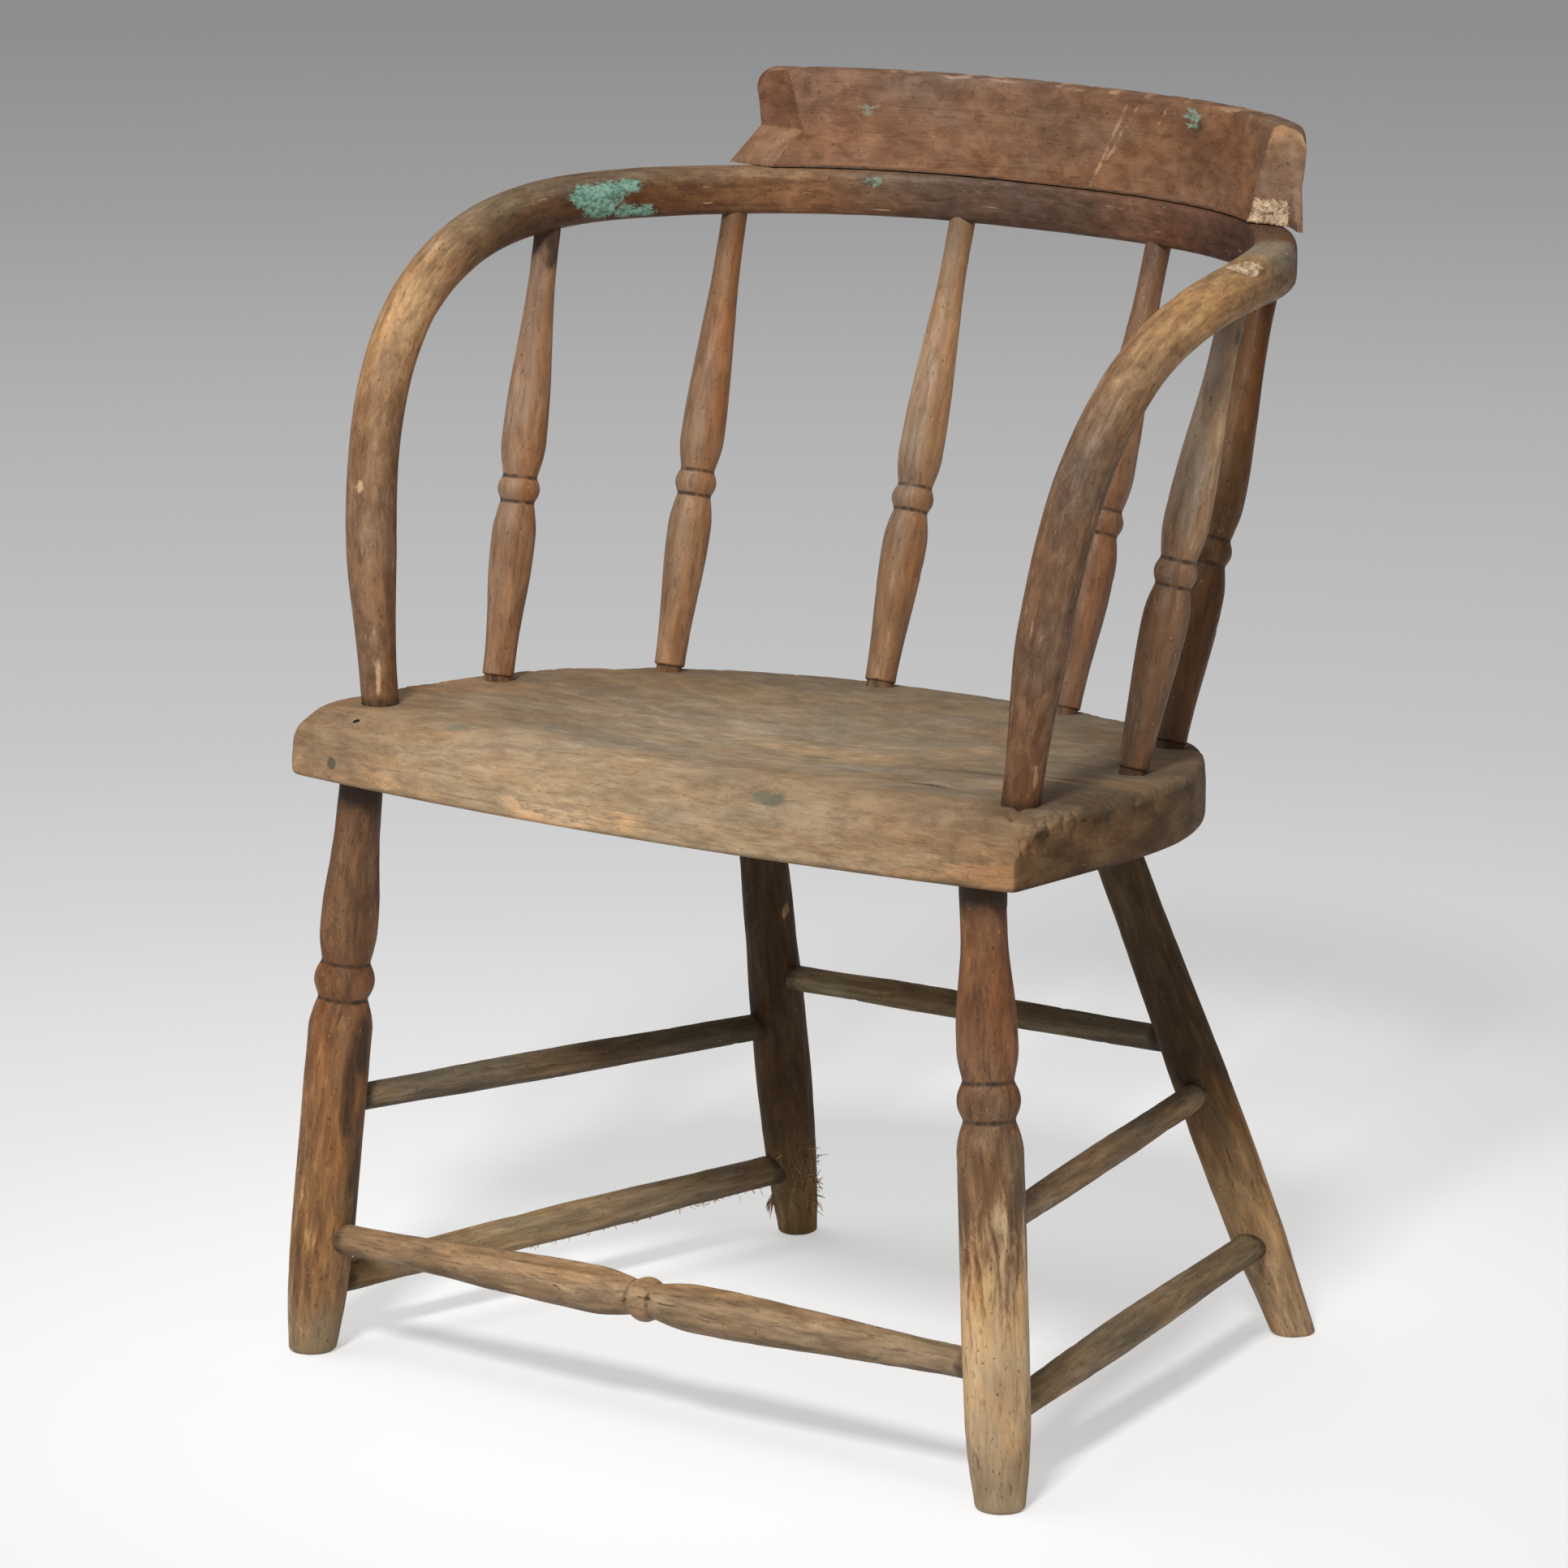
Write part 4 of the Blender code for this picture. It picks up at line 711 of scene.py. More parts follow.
bowFinish = woodFinish(
    "rubbedBowWood", streak=(7.0, 200.0), blotch=(26.0, 80.0), byStreak=0.30, byFibre=0.10, patch=0.30,
    fleck=(38.0, 520.0), fleckShare=0.5, paintDark=(0.085, 0.185, 0.133), paintLight=(0.27, 0.48, 0.375),
    dark=(0.105, 0.053, 0.026), mid=(0.195, 0.105, 0.053), light=(0.31, 0.18, 0.095))
points, local, flake = buildBow()
reach, up = local[..., 0], -local[..., 2]
far = np.abs(reach)
upper = eased(up, *bow["upperBand"]) * eased(far, *bow["upperEnd"])
lifted = upper * (bow["upperLeast"] + band(reach, *bow["upperLeft"]))
tone = along(bow["tones"], reach) + lifted[..., None] * np.array(bow["upperTone"])
# painted shade on the lower edge, less at the left bend
lower = eased(up, *bow["lowerBand"]) * eased(far, *bow["lowerEnd"])
shade = bow["lowerShade"] - band(reach, *bow["bendLight"]) * eased(reach, *bow["bendEnd"])
tone = mottled(tone * (1.0 - shade * lower)[..., None], local, 13, bow["mottle"], bow["mottleCell"])
bareness = np.maximum(band(far, *bow["bareArm"]), spots(points, bow["scrapes"]))
knot = bow["knot"] * bell(reach, *bow["knotReach"]) * bell(up, *bow["knotRise"])
darkMarks = np.maximum(band(np.abs(far - (bowHalf - bow["tenon"])), *bow["footDirt"]), knot)
dusty = np.maximum(bow["upperDust"] * upper, spots(points, bow["cornerDust"]))
wear = layers(bareness, darkMarks, dusty, spots(points, bow["greenPatch"]), like=reach)
tint = shades(tone, bow["flakeFresh"] * flake)
makePiece("bentBow", [gridPart(points, True, local + bow["grainStart"], wear, tint)], bowFinish, ["bow"],
          bow["sharp"])
print("bow done")


# crest: raised board on the back of the bow, with bevelled ends
crest = dict(
    height=0.0645, setback=0.004, frontRake=math.radians(12.0), backRake=math.radians(4.0), edge=0.004,
    bevelY=0.393, rampHeight=0.0245, toe=0.018, cornerRound=0.013, gap=0.0006, halfRows=190, across=24,
    faceRows=46, roundRows=8, reachEnd=0.40, reachSteps=1600, sharp=30.0, cornerMost=0.999,
    grainStart=(0.0, 0.6, 0.0), endGrain=(0.3, 1.0, 1.0), endGrainStart=(0.2, 0.6, 0.0),
    # the right toe is broken off: a short rough stump is left ahead of the toe's back edge
    breakAt=0.0125, breakSoft=0.0015, stumpShare=0.10, stumpRough=0.0016, stumpCell=0.0045,
    stumpTop=(0.020, 0.010), stumpFresh=(0.62, 0.019, 0.014), stumpEdge=0.001,
    # worn face and nicked top edge
    wave=0.0006, waveCell=(0.05, 0.03, 0.02), ripple=0.0002, rippleCell=(0.010, 0.008, 0.008),
    waveFrom=(0.0, 0.004), nick=0.0016, nickCell=(0.009, 0.006, 0.05), nickFrom=0.25,
    nickTop=(0.060, 0.0645),
    # redder and darker to the right, with tones of their own on the two end faces
    tones=((-0.3, (1.0, 1.0, 1.0)), (-0.22, (1.0, 1.05, 1.1)), (0.0, (0.97, 0.94, 0.84)),
           (0.12, (0.88, 0.83, 0.74)), (0.3, (0.82, 0.79, 0.70))),
    faceTone=(0.95, 0.93, 0.95), mottle=0.14, mottleCell=(0.06, 0.02, 0.02), leftRamp=(1.16, 1.14, 1.02),
    leftEnd=(0.77, 0.74, 0.72), rightEnd=(1.22, 1.46, 1.75), rightTop=(0.040, 0.060),
    rightTopTone=(0.95, 0.85, 0.45), rightDust=0.10,
    # rubbed top edge, slanting scratches from point to point in front view, green specks and stains
    topRub=(0.0605, 0.0640), topRubLeast=0.26, topRubMottle=0.45, topRubCell=(0.009, 0.02, 0.02),
    scratchBand=(0.50, 0.0026, 0.0006),
    scratches=(((0.047, 0.812), (0.023, 0.754)), ((0.080, 0.809), (0.074, 0.797)),
               ((0.056, 0.811), (0.033, 0.770))),
    specks=((0.103, 0.219, 0.803, 0.015, 0.02, 0.015, 0.60),
            (-0.146, 0.196, 0.794, 0.014, 0.02, 0.008, 0.46)),
    seamDirtAndShade=(0.55, 0.004, 0.0),
    darkSpots=((0.103, 0.219, 0.797, 0.03, 0.03, 0.022, 0.42),
            (-0.130, 0.202, 0.786, 0.035, 0.03, 0.014, 0.30), (0.19, 0.18, 0.79, 0.03, 0.03, 0.03, 0.34)))
crestBase = bow["height"] + 0.5 * bow["railHeight"] + crest["gap"]


def crestSection():
    # front and back lines of the board from its foot to the middle of its top, at equal heights
    face, turn = crest["faceRows"], crest["roundRows"]
    bend = np.linspace(0.0, 0.5 * np.pi, turn + 1)[1:]
    close = np.linspace(0.0, 1.0, turn + 1)[1:]
    rise = np.concatenate([np.linspace(0.0, crest["height"] - crest["edge"], face),
                           crest["height"] - crest["edge"] * (1.0 - np.sin(bend)),
                           np.full(turn, crest["height"])])
    turnIn = np.concatenate([np.zeros(face), crest["edge"] * (1.0 - np.cos(bend)),
                             np.full(turn, crest["edge"])])
    front = crest["setback"] - 0.5 * bow["railThick"] + rise * math.tan(crest["frontRake"]) + turnIn
    back = crest["setback"] + 0.5 * bow["railThick"] + rise * math.tan(crest["backRake"]) - turnIn
    last = face + turn - 1  # where the round ends and the level top begins
    middle = 0.5 * (front[last] + back[last])
    front[last + 1:] = front[last] + (middle - front[last]) * close
    back[last + 1:] = back[last] + (middle - back[last]) * close
    return front, back, rise


crestDense = np.linspace(0.0, crest["reachEnd"], crest["reachSteps"])
crestMiddle, crestOutward, _ = bowFrame(crestDense)


def crestEnd(offset, height, side):
    # reach at which each line of the board meets the bevel: upright above, a toe that runs forward below;
    # the right toe has broken off ahead of its back edge, and its stump is rough
    ramp = crest["toe"] * np.clip(1.0 - height / crest["rampHeight"], 0.0, 1.0)
    if side > 0.0:
        kept = eased(offset, crest["breakAt"], crest["breakAt"] + crest["breakSoft"])
        rough = cloud(np.stack([offset, height, 0.0 * height], -1), crest["stumpCell"], 25)
        stump = crest["stumpShare"] * ramp + crest["stumpRough"] * rough * eased(height, *crest["stumpTop"])
        ramp = kept * ramp + (1.0 - kept) * stump
    stop = (crest["bevelY"] - ramp).ravel()
    depth = crestMiddle[:, 1:2] + crestOutward[:, 1:2] * offset.ravel()
    after = np.argmax(depth < stop, axis=0)
    columns = np.arange(stop.size)
    first, second = depth[after - 1, columns], depth[after, columns]
    reach = crestDense[after - 1] + (crestDense[1] - crestDense[0]) * (first - stop) / (first - second)
    return reach.reshape(offset.shape)


def crestPlace(reach, offset, height, side):
    # point of the board: along the bow, out from its middle, up from its foot,
    # with rounded top corners and a worn face
    middle, outward, _ = bowFrame(reach)
    over = np.clip((reach - crestCorner) / crest["cornerRound"], 0.0, crest["cornerMost"])
    drop = crest["cornerRound"] * (1.0 - np.sqrt(1.0 - over * over))
    drop = drop * eased(height, 0.5 * crest["height"], crest["height"])
    local = np.stack([side * reach, offset + 0.0 * reach, height + 0.0 * reach], -1)
    wave = crest["wave"] * cloud(local, crest["waveCell"], 21)
    wave = wave + crest["ripple"] * cloud(local, crest["rippleCell"], 22)
    nicks = np.clip(cloud(local, crest["nickCell"], 23) - crest["nickFrom"], 0.0, 1.0)
    nicks = crest["nick"] * nicks * eased(height, *crest["nickTop"])
    points = middle + outward * (offset + wave * eased(height, *crest["waveFrom"]))[..., None]
    points[..., 0] *= side
    points[..., 2] = crestBase + height - drop - nicks
    return settled(points) + chairShift, local


def crestMarks(points, local, end):
    # tones along the board times those of its left end (-1) or right end (1);
    # rubbing and dirt by height, scratches and spots
    reach, offset, height = local[..., 0], local[..., 1], local[..., 2]
    tone = along(crest["tones"], reach) * np.array(crest["faceTone"])
    tone = mottled(tone, local, 24, crest["mottle"], crest["mottleCell"])
    fresh = 0.0
    if end < 0:
        tone = tone * np.where((height < crest["rampHeight"])[..., None], crest["leftRamp"],
                               crest["leftEnd"])
    if end > 0:
        top = eased(height, *crest["rightTop"])[..., None] * np.array(crest["rightTopTone"])
        tone = tone * np.array(crest["rightEnd"]) * (1.0 + top)
        ahead = eased(offset, crest["breakAt"] + crest["stumpEdge"], crest["breakAt"] - crest["stumpEdge"])
        fresh = band(height, *crest["stumpFresh"]) * ahead
    rubbed = crest["topRubLeast"] + crest["topRubMottle"] * cloud(local, crest["topRubCell"], 26)
    rubbed = rubbed * eased(height, *crest["topRub"])
    for first, last in crest["scratches"]:
        away = np.array(last) - np.array(first)
        spot = points[..., [0, 2]] - np.array(first)
        share = np.clip(spot @ away / (away @ away), 0.0, 1.0)
        distance = np.linalg.norm(spot - share[..., None] * away, axis=-1)
        rubbed = np.maximum(rubbed, band(distance, *crest["scratchBand"]))
    # dirt and painted shade along the board's foot, where it meets the bow, then stains
    darkMarks = band(height, *crest["seamDirtAndShade"]) * (end == 0) + spots(points, crest["darkSpots"])
    dusty = crest["rightDust"] * (end > 0)
    return layers(rubbed, darkMarks, dusty, spots(points, crest["specks"]), like=reach), shades(tone, fresh)


front, back, rise = crestSection()
upright = slice(crest["faceRows"] - 1, crest["faceRows"])  # last line below the rounded top edge
crestCorner = float(crestEnd(back[upright], rise[upright], -1.0)[0]) - crest["cornerRound"]
foot = np.linspace(back[0], front[0], crest["across"] + 1)[1:-1]
offset = np.concatenate([front, back[-2::-1], foot])
height = np.concatenate([rise, rise[-2::-1], np.zeros(len(foot))])
rows = np.linspace(0.0, 1.0, crest["halfRows"])[:, None]
leftSkin, rightSkin = [crestPlace(rows * crestEnd(offset, height, side), offset, height, side)
                       for _, side in bothSides]
skin, local = [np.concatenate([first[::-1], second[1:]]) for first, second in zip(leftSkin, rightSkin)]
crestFinish = woodFinish(
    "redBrownCrestWood", streak=(7.0, 160.0), patina=(60.0, 85.0), blotch=(16.0, 30.0), byStreak=0.14,
    byFibre=0.05, patch=0.24, crackShare=0.12, dashShare=0.2, bareDark=(0.30, 0.17, 0.10),
    bareLight=(0.47, 0.29, 0.18), dark=(0.125, 0.058, 0.030), mid=(0.205, 0.104, 0.058),
    light=(0.29, 0.157, 0.090))
parts = [gridPart(skin, True, local + crest["grainStart"], *crestMarks(skin, local, 0))]
share = np.linspace(0.0, 1.0, crest["across"] + 1)
capOffset = front[:, None] + (back - front)[:, None] * share
capHeight = np.broadcast_to(rise[:, None], capOffset.shape)
for _, side in bothSides:
    cap, local = crestPlace(crestEnd(capOffset, capHeight, side), capOffset, capHeight, side)
    grain = local * crest["endGrain"] + crest["endGrainStart"]
    parts.append(gridPart(cap, False, grain, *crestMarks(cap, local, int(side))))
makePiece("crestBoard", parts, crestFinish, ["crest"], crest["sharp"])
print("crest done")


# turned sticks: a profile spun round an axis
turning = dict(
    dentCell=(0.035, 0.012, 0.012), rippleShare=0.35, rippleCell=(0.010, 0.005, 0.005), nickShare=2.5,
    nickFrom=0.45, nickCell=(0.009, 0.004, 0.004), flatFade=0.06, leastLean=0.05, leastRadius=0.0005,
    floorFade=0.06, crownSteps=900, grainAside=0.2)


def turnedProfile(marks, step):
    # radius along the axis between marks of place and width: straight line, eased swell,
    # or quarter round that is level at its wider end
    marks = [(place, 0.5 * width, way) for place, width, way in marks]
    places, radii = [np.array([marks[0][0]])], [np.array([marks[0][1]])]
    for (start, first, _), (end, last, way) in zip(marks, marks[1:]):
        count = max(int(math.ceil(max(abs(end - start), abs(last - first)) / step)), 4)
        t = np.linspace(0.0, 1.0, count + 1)[1:]
        quarter = np.sin(0.5 * np.pi * t) if last > first else 1.0 - np.cos(0.5 * np.pi * t)
        share = {"line": t, "swell": 0.5 - 0.5 * np.cos(np.pi * t), "round": quarter}[way]
        places.append(start + (end - start) * t)
        radii.append(first + (last - first) * share)
    return np.concatenate(places), np.concatenate(radii)


def spin(base, tip, marks, stick, seed):
    # rings of the profile about the axis, slightly oval and dented;
    # a standing stick is cut level with the floor
    axis = unit(tip - base)
    side = unit(np.cross(axis, np.array([0.0, 1.0, 0.0])))
    other = np.cross(axis, side)
    place, radius = turnedProfile(marks, stick["step"])
    for _ in range(stick["soften"]):
        radius[1:-1] = 0.25 * radius[:-2] + 0.5 * radius[1:-1] + 0.25 * radius[2:]
    angle = np.linspace(0.0, 2.0 * np.pi, stick["sides"], endpoint=False)
    ring = np.cos(angle)[:, None] * side + np.sin(angle)[:, None] * other
    distance = np.broadcast_to(place[:, None], (len(place), len(angle))).copy()
    local = np.stack([distance, radius[:, None] * np.cos(angle), radius[:, None] * np.sin(angle)], -1)
    wide = radius[:, None] * (1.0 + stick["oval"] * np.cos(2.0 * angle + seed))
    dents = cloud(local, turning["dentCell"], seed)
    dents = dents + turning["rippleShare"] * cloud(local, turning["rippleCell"], seed + 1)
    nicks = np.clip(cloud(local, turning["nickCell"], seed + 2) - turning["nickFrom"], 0.0, 1.0)
    wide = wide + stick["dents"] * (dents - turning["nickShare"] * nicks)
    # worn flats: the radius stops at a plane, faded in and out along the stick
    for facing, start, end, depth in stick.get("flats", ()):
        lean = np.maximum(ring @ unit(np.array(facing)), turning["leastLean"])
        fade = turning["flatFade"]
        faded = eased(place, start, start + fade) * eased(place, end, end - fade)
        wide = wide - faded[:, None] * np.maximum(wide - depth / lean, 0.0)
    wide = np.maximum(wide, turning["leastRadius"])
    if stick.get("stands"):
        floorCut = -wide * ring[:, 2] / axis[2]
        distance = distance + floorCut * eased(distance, turning["floorFade"], 0.0)
    points = base + axis * distance[..., None] + ring * wide[..., None]
    first, last = [np.broadcast_to(base + axis * end, (1, len(angle), 3)) for end in (place[0], place[-1])]
    points = np.concatenate([first, points, last])
    if stick.get("stands"):
        points[:2, :, 2] = 0.0
    grain = np.concatenate([local[:1] * [1.0, 0.0, 0.0], local, local[-1:] * [1.0, 0.0, 0.0]])
    # how far each ring stands out of its neighbours, for rubbed beads
    steps = np.linspace(place[0], place[-1], turning["crownSteps"])
    even = np.interp(steps, place, radius)
    reach = max(int(stick["crownReach"] / (steps[1] - steps[0])), 1)
    window = np.ones(2 * reach + 1) / (2 * reach + 1)
    smooth = np.convolve(np.pad(even, reach, mode="edge"), window, mode="valid")
    crown = np.interp(grain[..., 0], steps, even - smooth)
    return points + chairShift, grain, crown, np.broadcast_to(ring, points.shape)


# front legs: turned with a bead, pale where feet have rubbed them
frontLeg = dict(
    footX=0.2815, topInset=0.0415, setback=0.023, top=0.029, swell=0.038, neck=0.0312, bead=0.039,
    shank=0.0415, foot=0.0315, footEdge=0.0044, footEdgeRise=0.0025, taper=0.075, beadHeight=0.252,
    beadLength=0.024, swellRise=0.034, shoulderDrop=0.034, tenon=0.010, step=0.0011, sides=72, soften=2,
    oval=0.008, dents=0.00040, crownReach=0.009, stands=True, seeds=dict(left=31, right=37), grainStart=1.0,
    # rubbed bead, grooves with dirt and painted shade, a painted shadow of the seat at the top, dusty foot
    beadRub=(0.42, 0.0005, 0.0016), grooveDirtAndShade=(0.58, 0.0034, 0.0004), topDarkening=(0.75, 0.350, 0.386),
    footDust=(0.62, 0.062, 0.012),
    # the left one is rubbed orange on its outer side, and dark on its inner one with dirt and painted shade
    outerRub=(0.22, 0.235, 0.19), outerSide=(0.79, 0.35), innerMottle=0.25, innerCell=(0.06, 0.010, 0.010),
    innerDirtAndShade=(0.58, 0.58, 0.98), innerTop=(0.245, 0.225), innerFoot=(0.04, 0.09),
    innerDarkPatches=((-0.248, -0.215, 0.205, 0.016, 0.016, 0.034, 0.62),
            (-0.250, -0.212, 0.160, 0.016, 0.016, 0.028, 0.5)),
    # the lower half of the right one has lost its colour, and a pale ring is worn into it
    fadeMottle=0.014, fadeCell=(0.05, 0.009, 0.009), fadeAt=(0.08, 0.11, 0.145, 0.18, 0.215),
    fadeShare=(0.90, 0.76, 0.48, 0.36, 0.03), ringAt=0.1105, ringRub=(0.9, 0.0022, 0.0006),
    # tones from the floor up; the darker tones near the top are painted shade under the seat
    toneScale=0.96, mottle=0.16, mottleCell=dict(left=(0.07, 0.008, 0.008), right=(0.04, 0.010, 0.010)),
    tones=dict(
        left=((0.0, (0.90, 0.96, 0.83)), (0.05, (1.16, 1.16, 0.98)), (0.12, (1.30, 1.22, 0.96)),
              (0.2, (1.22, 1.06, 0.86)), (0.26, (0.97, 0.83, 0.73)), (0.32, (0.85, 0.80, 0.80)),
              (0.39, (0.58, 0.60, 0.70))),
        right=((0.0, (0.64, 0.68, 0.70)), (0.05, (1.02, 1.03, 1.0)), (0.12, (1.18, 1.17, 1.10)),
               (0.17, (0.95, 1.0, 1.02)), (0.23, (0.90, 0.93, 0.96)), (0.29, (0.98, 0.80, 0.71)),
               (0.39, (0.81, 0.73, 0.70)))))
frontTopY = seat["cornerY"] + frontLeg["setback"]
frontTop = np.array([seat["halfWidth"] - frontLeg["topInset"], frontTopY, seatUnder(frontTopY)])
frontFoot = np.array([frontLeg["footX"], 0.0, 0.0])


def frontLegMarks(length):
    # foot, long shank, round shoulder, bead between two necks, swell, then the taper into the seat
    leg, stretch = frontLeg, length / frontTop[2]
    bead, half = leg["beadHeight"] * stretch, 0.5 * leg["beadLength"]
    return [(0.0, leg["foot"] - leg["footEdge"], "line"), (leg["footEdgeRise"], leg["foot"], "round"),
            (leg["taper"] * stretch, leg["shank"], "round"),
            (bead - leg["shoulderDrop"], leg["shank"], "line"), (bead - half, leg["neck"], "round"),
            (bead, leg["bead"], "round"), (bead + half, leg["neck"], "round"),
            (bead + leg["swellRise"], leg["swell"], "round"), (length - leg["top"], leg["top"], "swell"),
            (length + leg["tenon"], leg["top"], "line")]


legAxes = {}
legFinish = woodFinish(
    "wornFrontLegWood", streak=(8.0, 180.0), patina=(34.0, 150.0), blotch=(18.0, 84.0), dash=(50.0, 230.0),
    dashShare=0.36, speckShare=0.6, patch=0.32, soft=0.24, contrast=0.27, bareDark=(0.33, 0.205, 0.11),
    bareLight=(0.57, 0.39, 0.22), dark=(0.085, 0.040, 0.018), mid=(0.185, 0.092, 0.043),
    light=(0.31, 0.168, 0.078), dustDark=(0.18, 0.132, 0.08), dustLight=(0.36, 0.265, 0.16))
for label, side in bothSides:
    leg, flip = frontLeg, np.array([side, 1.0, 1.0])
    base, tip = frontFoot * flip, frontTop * flip
    legAxes["front" + label] = (base, tip)
    length = np.linalg.norm(tip - base)
    points, local, crown, facing = spin(base, tip, frontLegMarks(length), leg, leg["seeds"][label])
    reach, inner = local[..., 0], -side * facing[..., 0]
    worn = band(crown, *leg["beadRub"])
    groove = np.abs(np.abs(reach - leg["beadHeight"] * length / frontTop[2]) - 0.5 * leg["beadLength"])
    # dirt and painted shade in the grooves; painted shadow of the seat at the top
    darkMarks = band(groove, *leg["grooveDirtAndShade"]) + band(reach, *leg["topDarkening"])
    if side < 0:
        worn = np.maximum(worn, band(reach, *leg["outerRub"]) * eased(inner, *leg["outerSide"]))
        ragged = inner + leg["innerMottle"] * cloud(local, leg["innerCell"], 34)
        shank = eased(reach, *leg["innerTop"]) * eased(reach, *leg["innerFoot"])
        # dirt and painted shade on the inner side and in its dark patches
        darkMarks = np.maximum(darkMarks, band(ragged, *leg["innerDirtAndShade"]) * shank)
        darkMarks = np.maximum(darkMarks, spots(points, leg["innerDarkPatches"]))
    else:
        ragged = reach + leg["fadeMottle"] * cloud(local, leg["fadeCell"], 35)
        worn = np.maximum(worn, np.interp(ragged, leg["fadeAt"], leg["fadeShare"]))
        worn = np.maximum(worn, band(np.abs(reach - leg["ringAt"]), *leg["ringRub"]))
    tone = leg["toneScale"] * along(leg["tones"][label], reach)
    tone = mottled(tone, local, 33, leg["mottle"], leg["mottleCell"][label])
    wear = layers(worn, darkMarks, band(reach, *leg["footDust"]), 0.0, like=reach)
    grain = local + [leg["grainStart"] + side, turning["grainAside"], 0.0]
    parts = [gridPart(points, True, grain, wear, shades(tone))]
    makePiece("frontLeg" + label.title(), parts, legFinish, ["front_leg_" + label])
print("front legs done")


# rear legs: plain and raked, of dark wood that is painted darker still by the shade under the seat
rearLeg = dict(
    footX=0.209, footY=0.431, topX=0.140, setback=0.072, top=0.031, swell=0.038, swellHeight=0.130,
    foot=0.028, footEdge=0.0036, footEdgeRise=0.002, tenon=0.012, step=0.0013, sides=64, soften=2,
    oval=0.012, dents=0.00040, crownReach=0.009, stands=True, seeds=dict(left=41, right=47), grainStart=3.0,
    # a scar on the left leg, painted shade under the seat, dust at the foot
    scar=((-0.150, 0.111, 0.257, 0.007, 0.010, 0.012, 0.50),), topDarkening=(0.3, 0.3, 0.4),
    footDust=(0.2, 0.03, 0.0),
    # tones from the floor up: darker towards the seat, which paints the shade under it; the right foot has
    # faded most
    toneShift=0.02, toneCell=(0.05, 0.012, 0.012), mottle=0.12, mottleCell=(0.07, 0.012, 0.012),
    tones=dict(
        left=((0.0, (5.0, 5.2, 4.8)), (0.04, (3.8, 3.8, 3.3)), (0.10, (1.5, 1.35, 1.15)),
              (0.15, (1.14, 1.0, 0.93)), (0.4, (1.15, 1.05, 1.0))),
        right=((0.0, (7.3, 8.2, 9.8)), (0.05, (6.4, 7.0, 8.0)), (0.10, (6.9, 6.7, 6.2)),
               (0.16, (4.2, 3.8, 3.4)), (0.21, (1.2, 1.2, 1.18)), (0.4, (1.7, 1.6, 1.5)))))
rearTopY = seat["springY"] + seat["backDepth"] - rearLeg["setback"]
rearTop = np.array([rearLeg["topX"], rearTopY, seatUnder(rearTopY)])
rearFoot = np.array([rearLeg["footX"], rearLeg["footY"], 0.0])


def rearLegMarks(length):
    # foot, long swell, then a slow taper into the seat
    leg, stretch = rearLeg, length / rearTop[2]
    return [(0.0, leg["foot"] - leg["footEdge"], "line"), (leg["footEdgeRise"], leg["foot"], "round"),
            (leg["swellHeight"] * stretch, leg["swell"], "round"),
            (length - leg["top"], leg["top"], "swell"), (length + leg["tenon"], leg["top"], "line")]


# straw caught at the left rear foot and under the left lower stretcher;
# pairs are the ends of a range, or a middle and a spread
straw = dict(
    seed=7, round=120, tuft=26, fringe=110, thick=0.00030, thickRange=(0.6, 1.3), taper=0.4,
    swayRange=(3.0, 7.0), steps=9, sides=5, lean=0.2, grainScale=3.0, across=(0.31, 0.52, 0.8),
    tone=(1.0, 1.02, 1.0), toneRange=(4.0, 10.0), turn=math.radians(37.863), legRadius=0.0150,
    outRange=(0.001, 0.006), sag=0.002, sway=0.0015, roundTurn=(-0.7, 0.85), roundRise=(0.024, 0.076),
    roundSpread=0.009, roundClimb=(0.0, 0.008), tuftTurn=(math.pi, 0.35), tuftRise=(0.034, 0.042),
    tuftSpread=0.003, tuftDrop=-0.018, fringeRange=(0.42, 0.93), fringeSide=0.003, fringeUnder=-0.0098,
    fringeAlong=0.004, fringeDrop=(0.001, 0.0045), fringeSway=0.0008)


def strawStalk(start, way, sag, bend, pick):
    # one stalk: a line that sags as the square of its length and sways as a sine,
    # with a ring that closes at both ends
    share = np.linspace(0.0, 1.0, straw["steps"])[:, None]
    across = unit(np.cross(way, np.array(straw["across"])))
    line = start + way * share - np.array([0.0, 0.0, sag]) * share ** 2
    line = line + across * bend * np.sin(share * pick.uniform(*straw["swayRange"]))
    heading = unit(np.gradient(line, axis=0))
    first = unit(np.cross(heading, across + straw["lean"] * unit(way)))
    second = np.cross(heading, first)
    angle = np.linspace(0.0, 2.0 * np.pi, straw["sides"], endpoint=False)
    thick = straw["thick"] * pick.uniform(*straw["thickRange"]) * np.sin(np.pi * share) ** straw["taper"]
    thick[[0, -1]] = 0.0
    ring = np.cos(angle)[None, :, None] * first[:, None] + np.sin(angle)[None, :, None] * second[:, None]
    points = line[:, None] + thick[:, :, None] * ring + chairShift
    tone = np.broadcast_to(np.array(straw["tone"]) * pick.uniform(*straw["toneRange"]), points.shape)
    return gridPart(points, True, points * straw["grainScale"], layers(like=points[..., 0]), shades(tone))


def legStraw(base, tip):
    # short stalks that lie against the foot, most of them on its right,
    # and a tuft that hangs under the stretcher
    pick, axis = np.random.default_rng(straw["seed"]), unit(tip - base)
    parts = []
    for number in range(straw["round"] + straw["tuft"]):
        kind = "tuft" if number >= straw["round"] else "round"
        turn = pick.normal(*straw[kind + "Turn"]) + straw["turn"]
        out = np.array([math.cos(turn), math.sin(turn), 0.0])
        side = np.cross(axis, out)
        start = base + axis * pick.uniform(*straw[kind + "Rise"]) + out * straw["legRadius"]
        way = out * pick.uniform(*straw["outRange"]) + side * pick.normal(0.0, straw[kind + "Spread"])
        way = way + axis * (straw["tuftDrop"] if kind == "tuft" else pick.normal(*straw["roundClimb"]))
        parts.append(strawStalk(start, way, straw["sag"], straw["sway"], pick))
    return parts


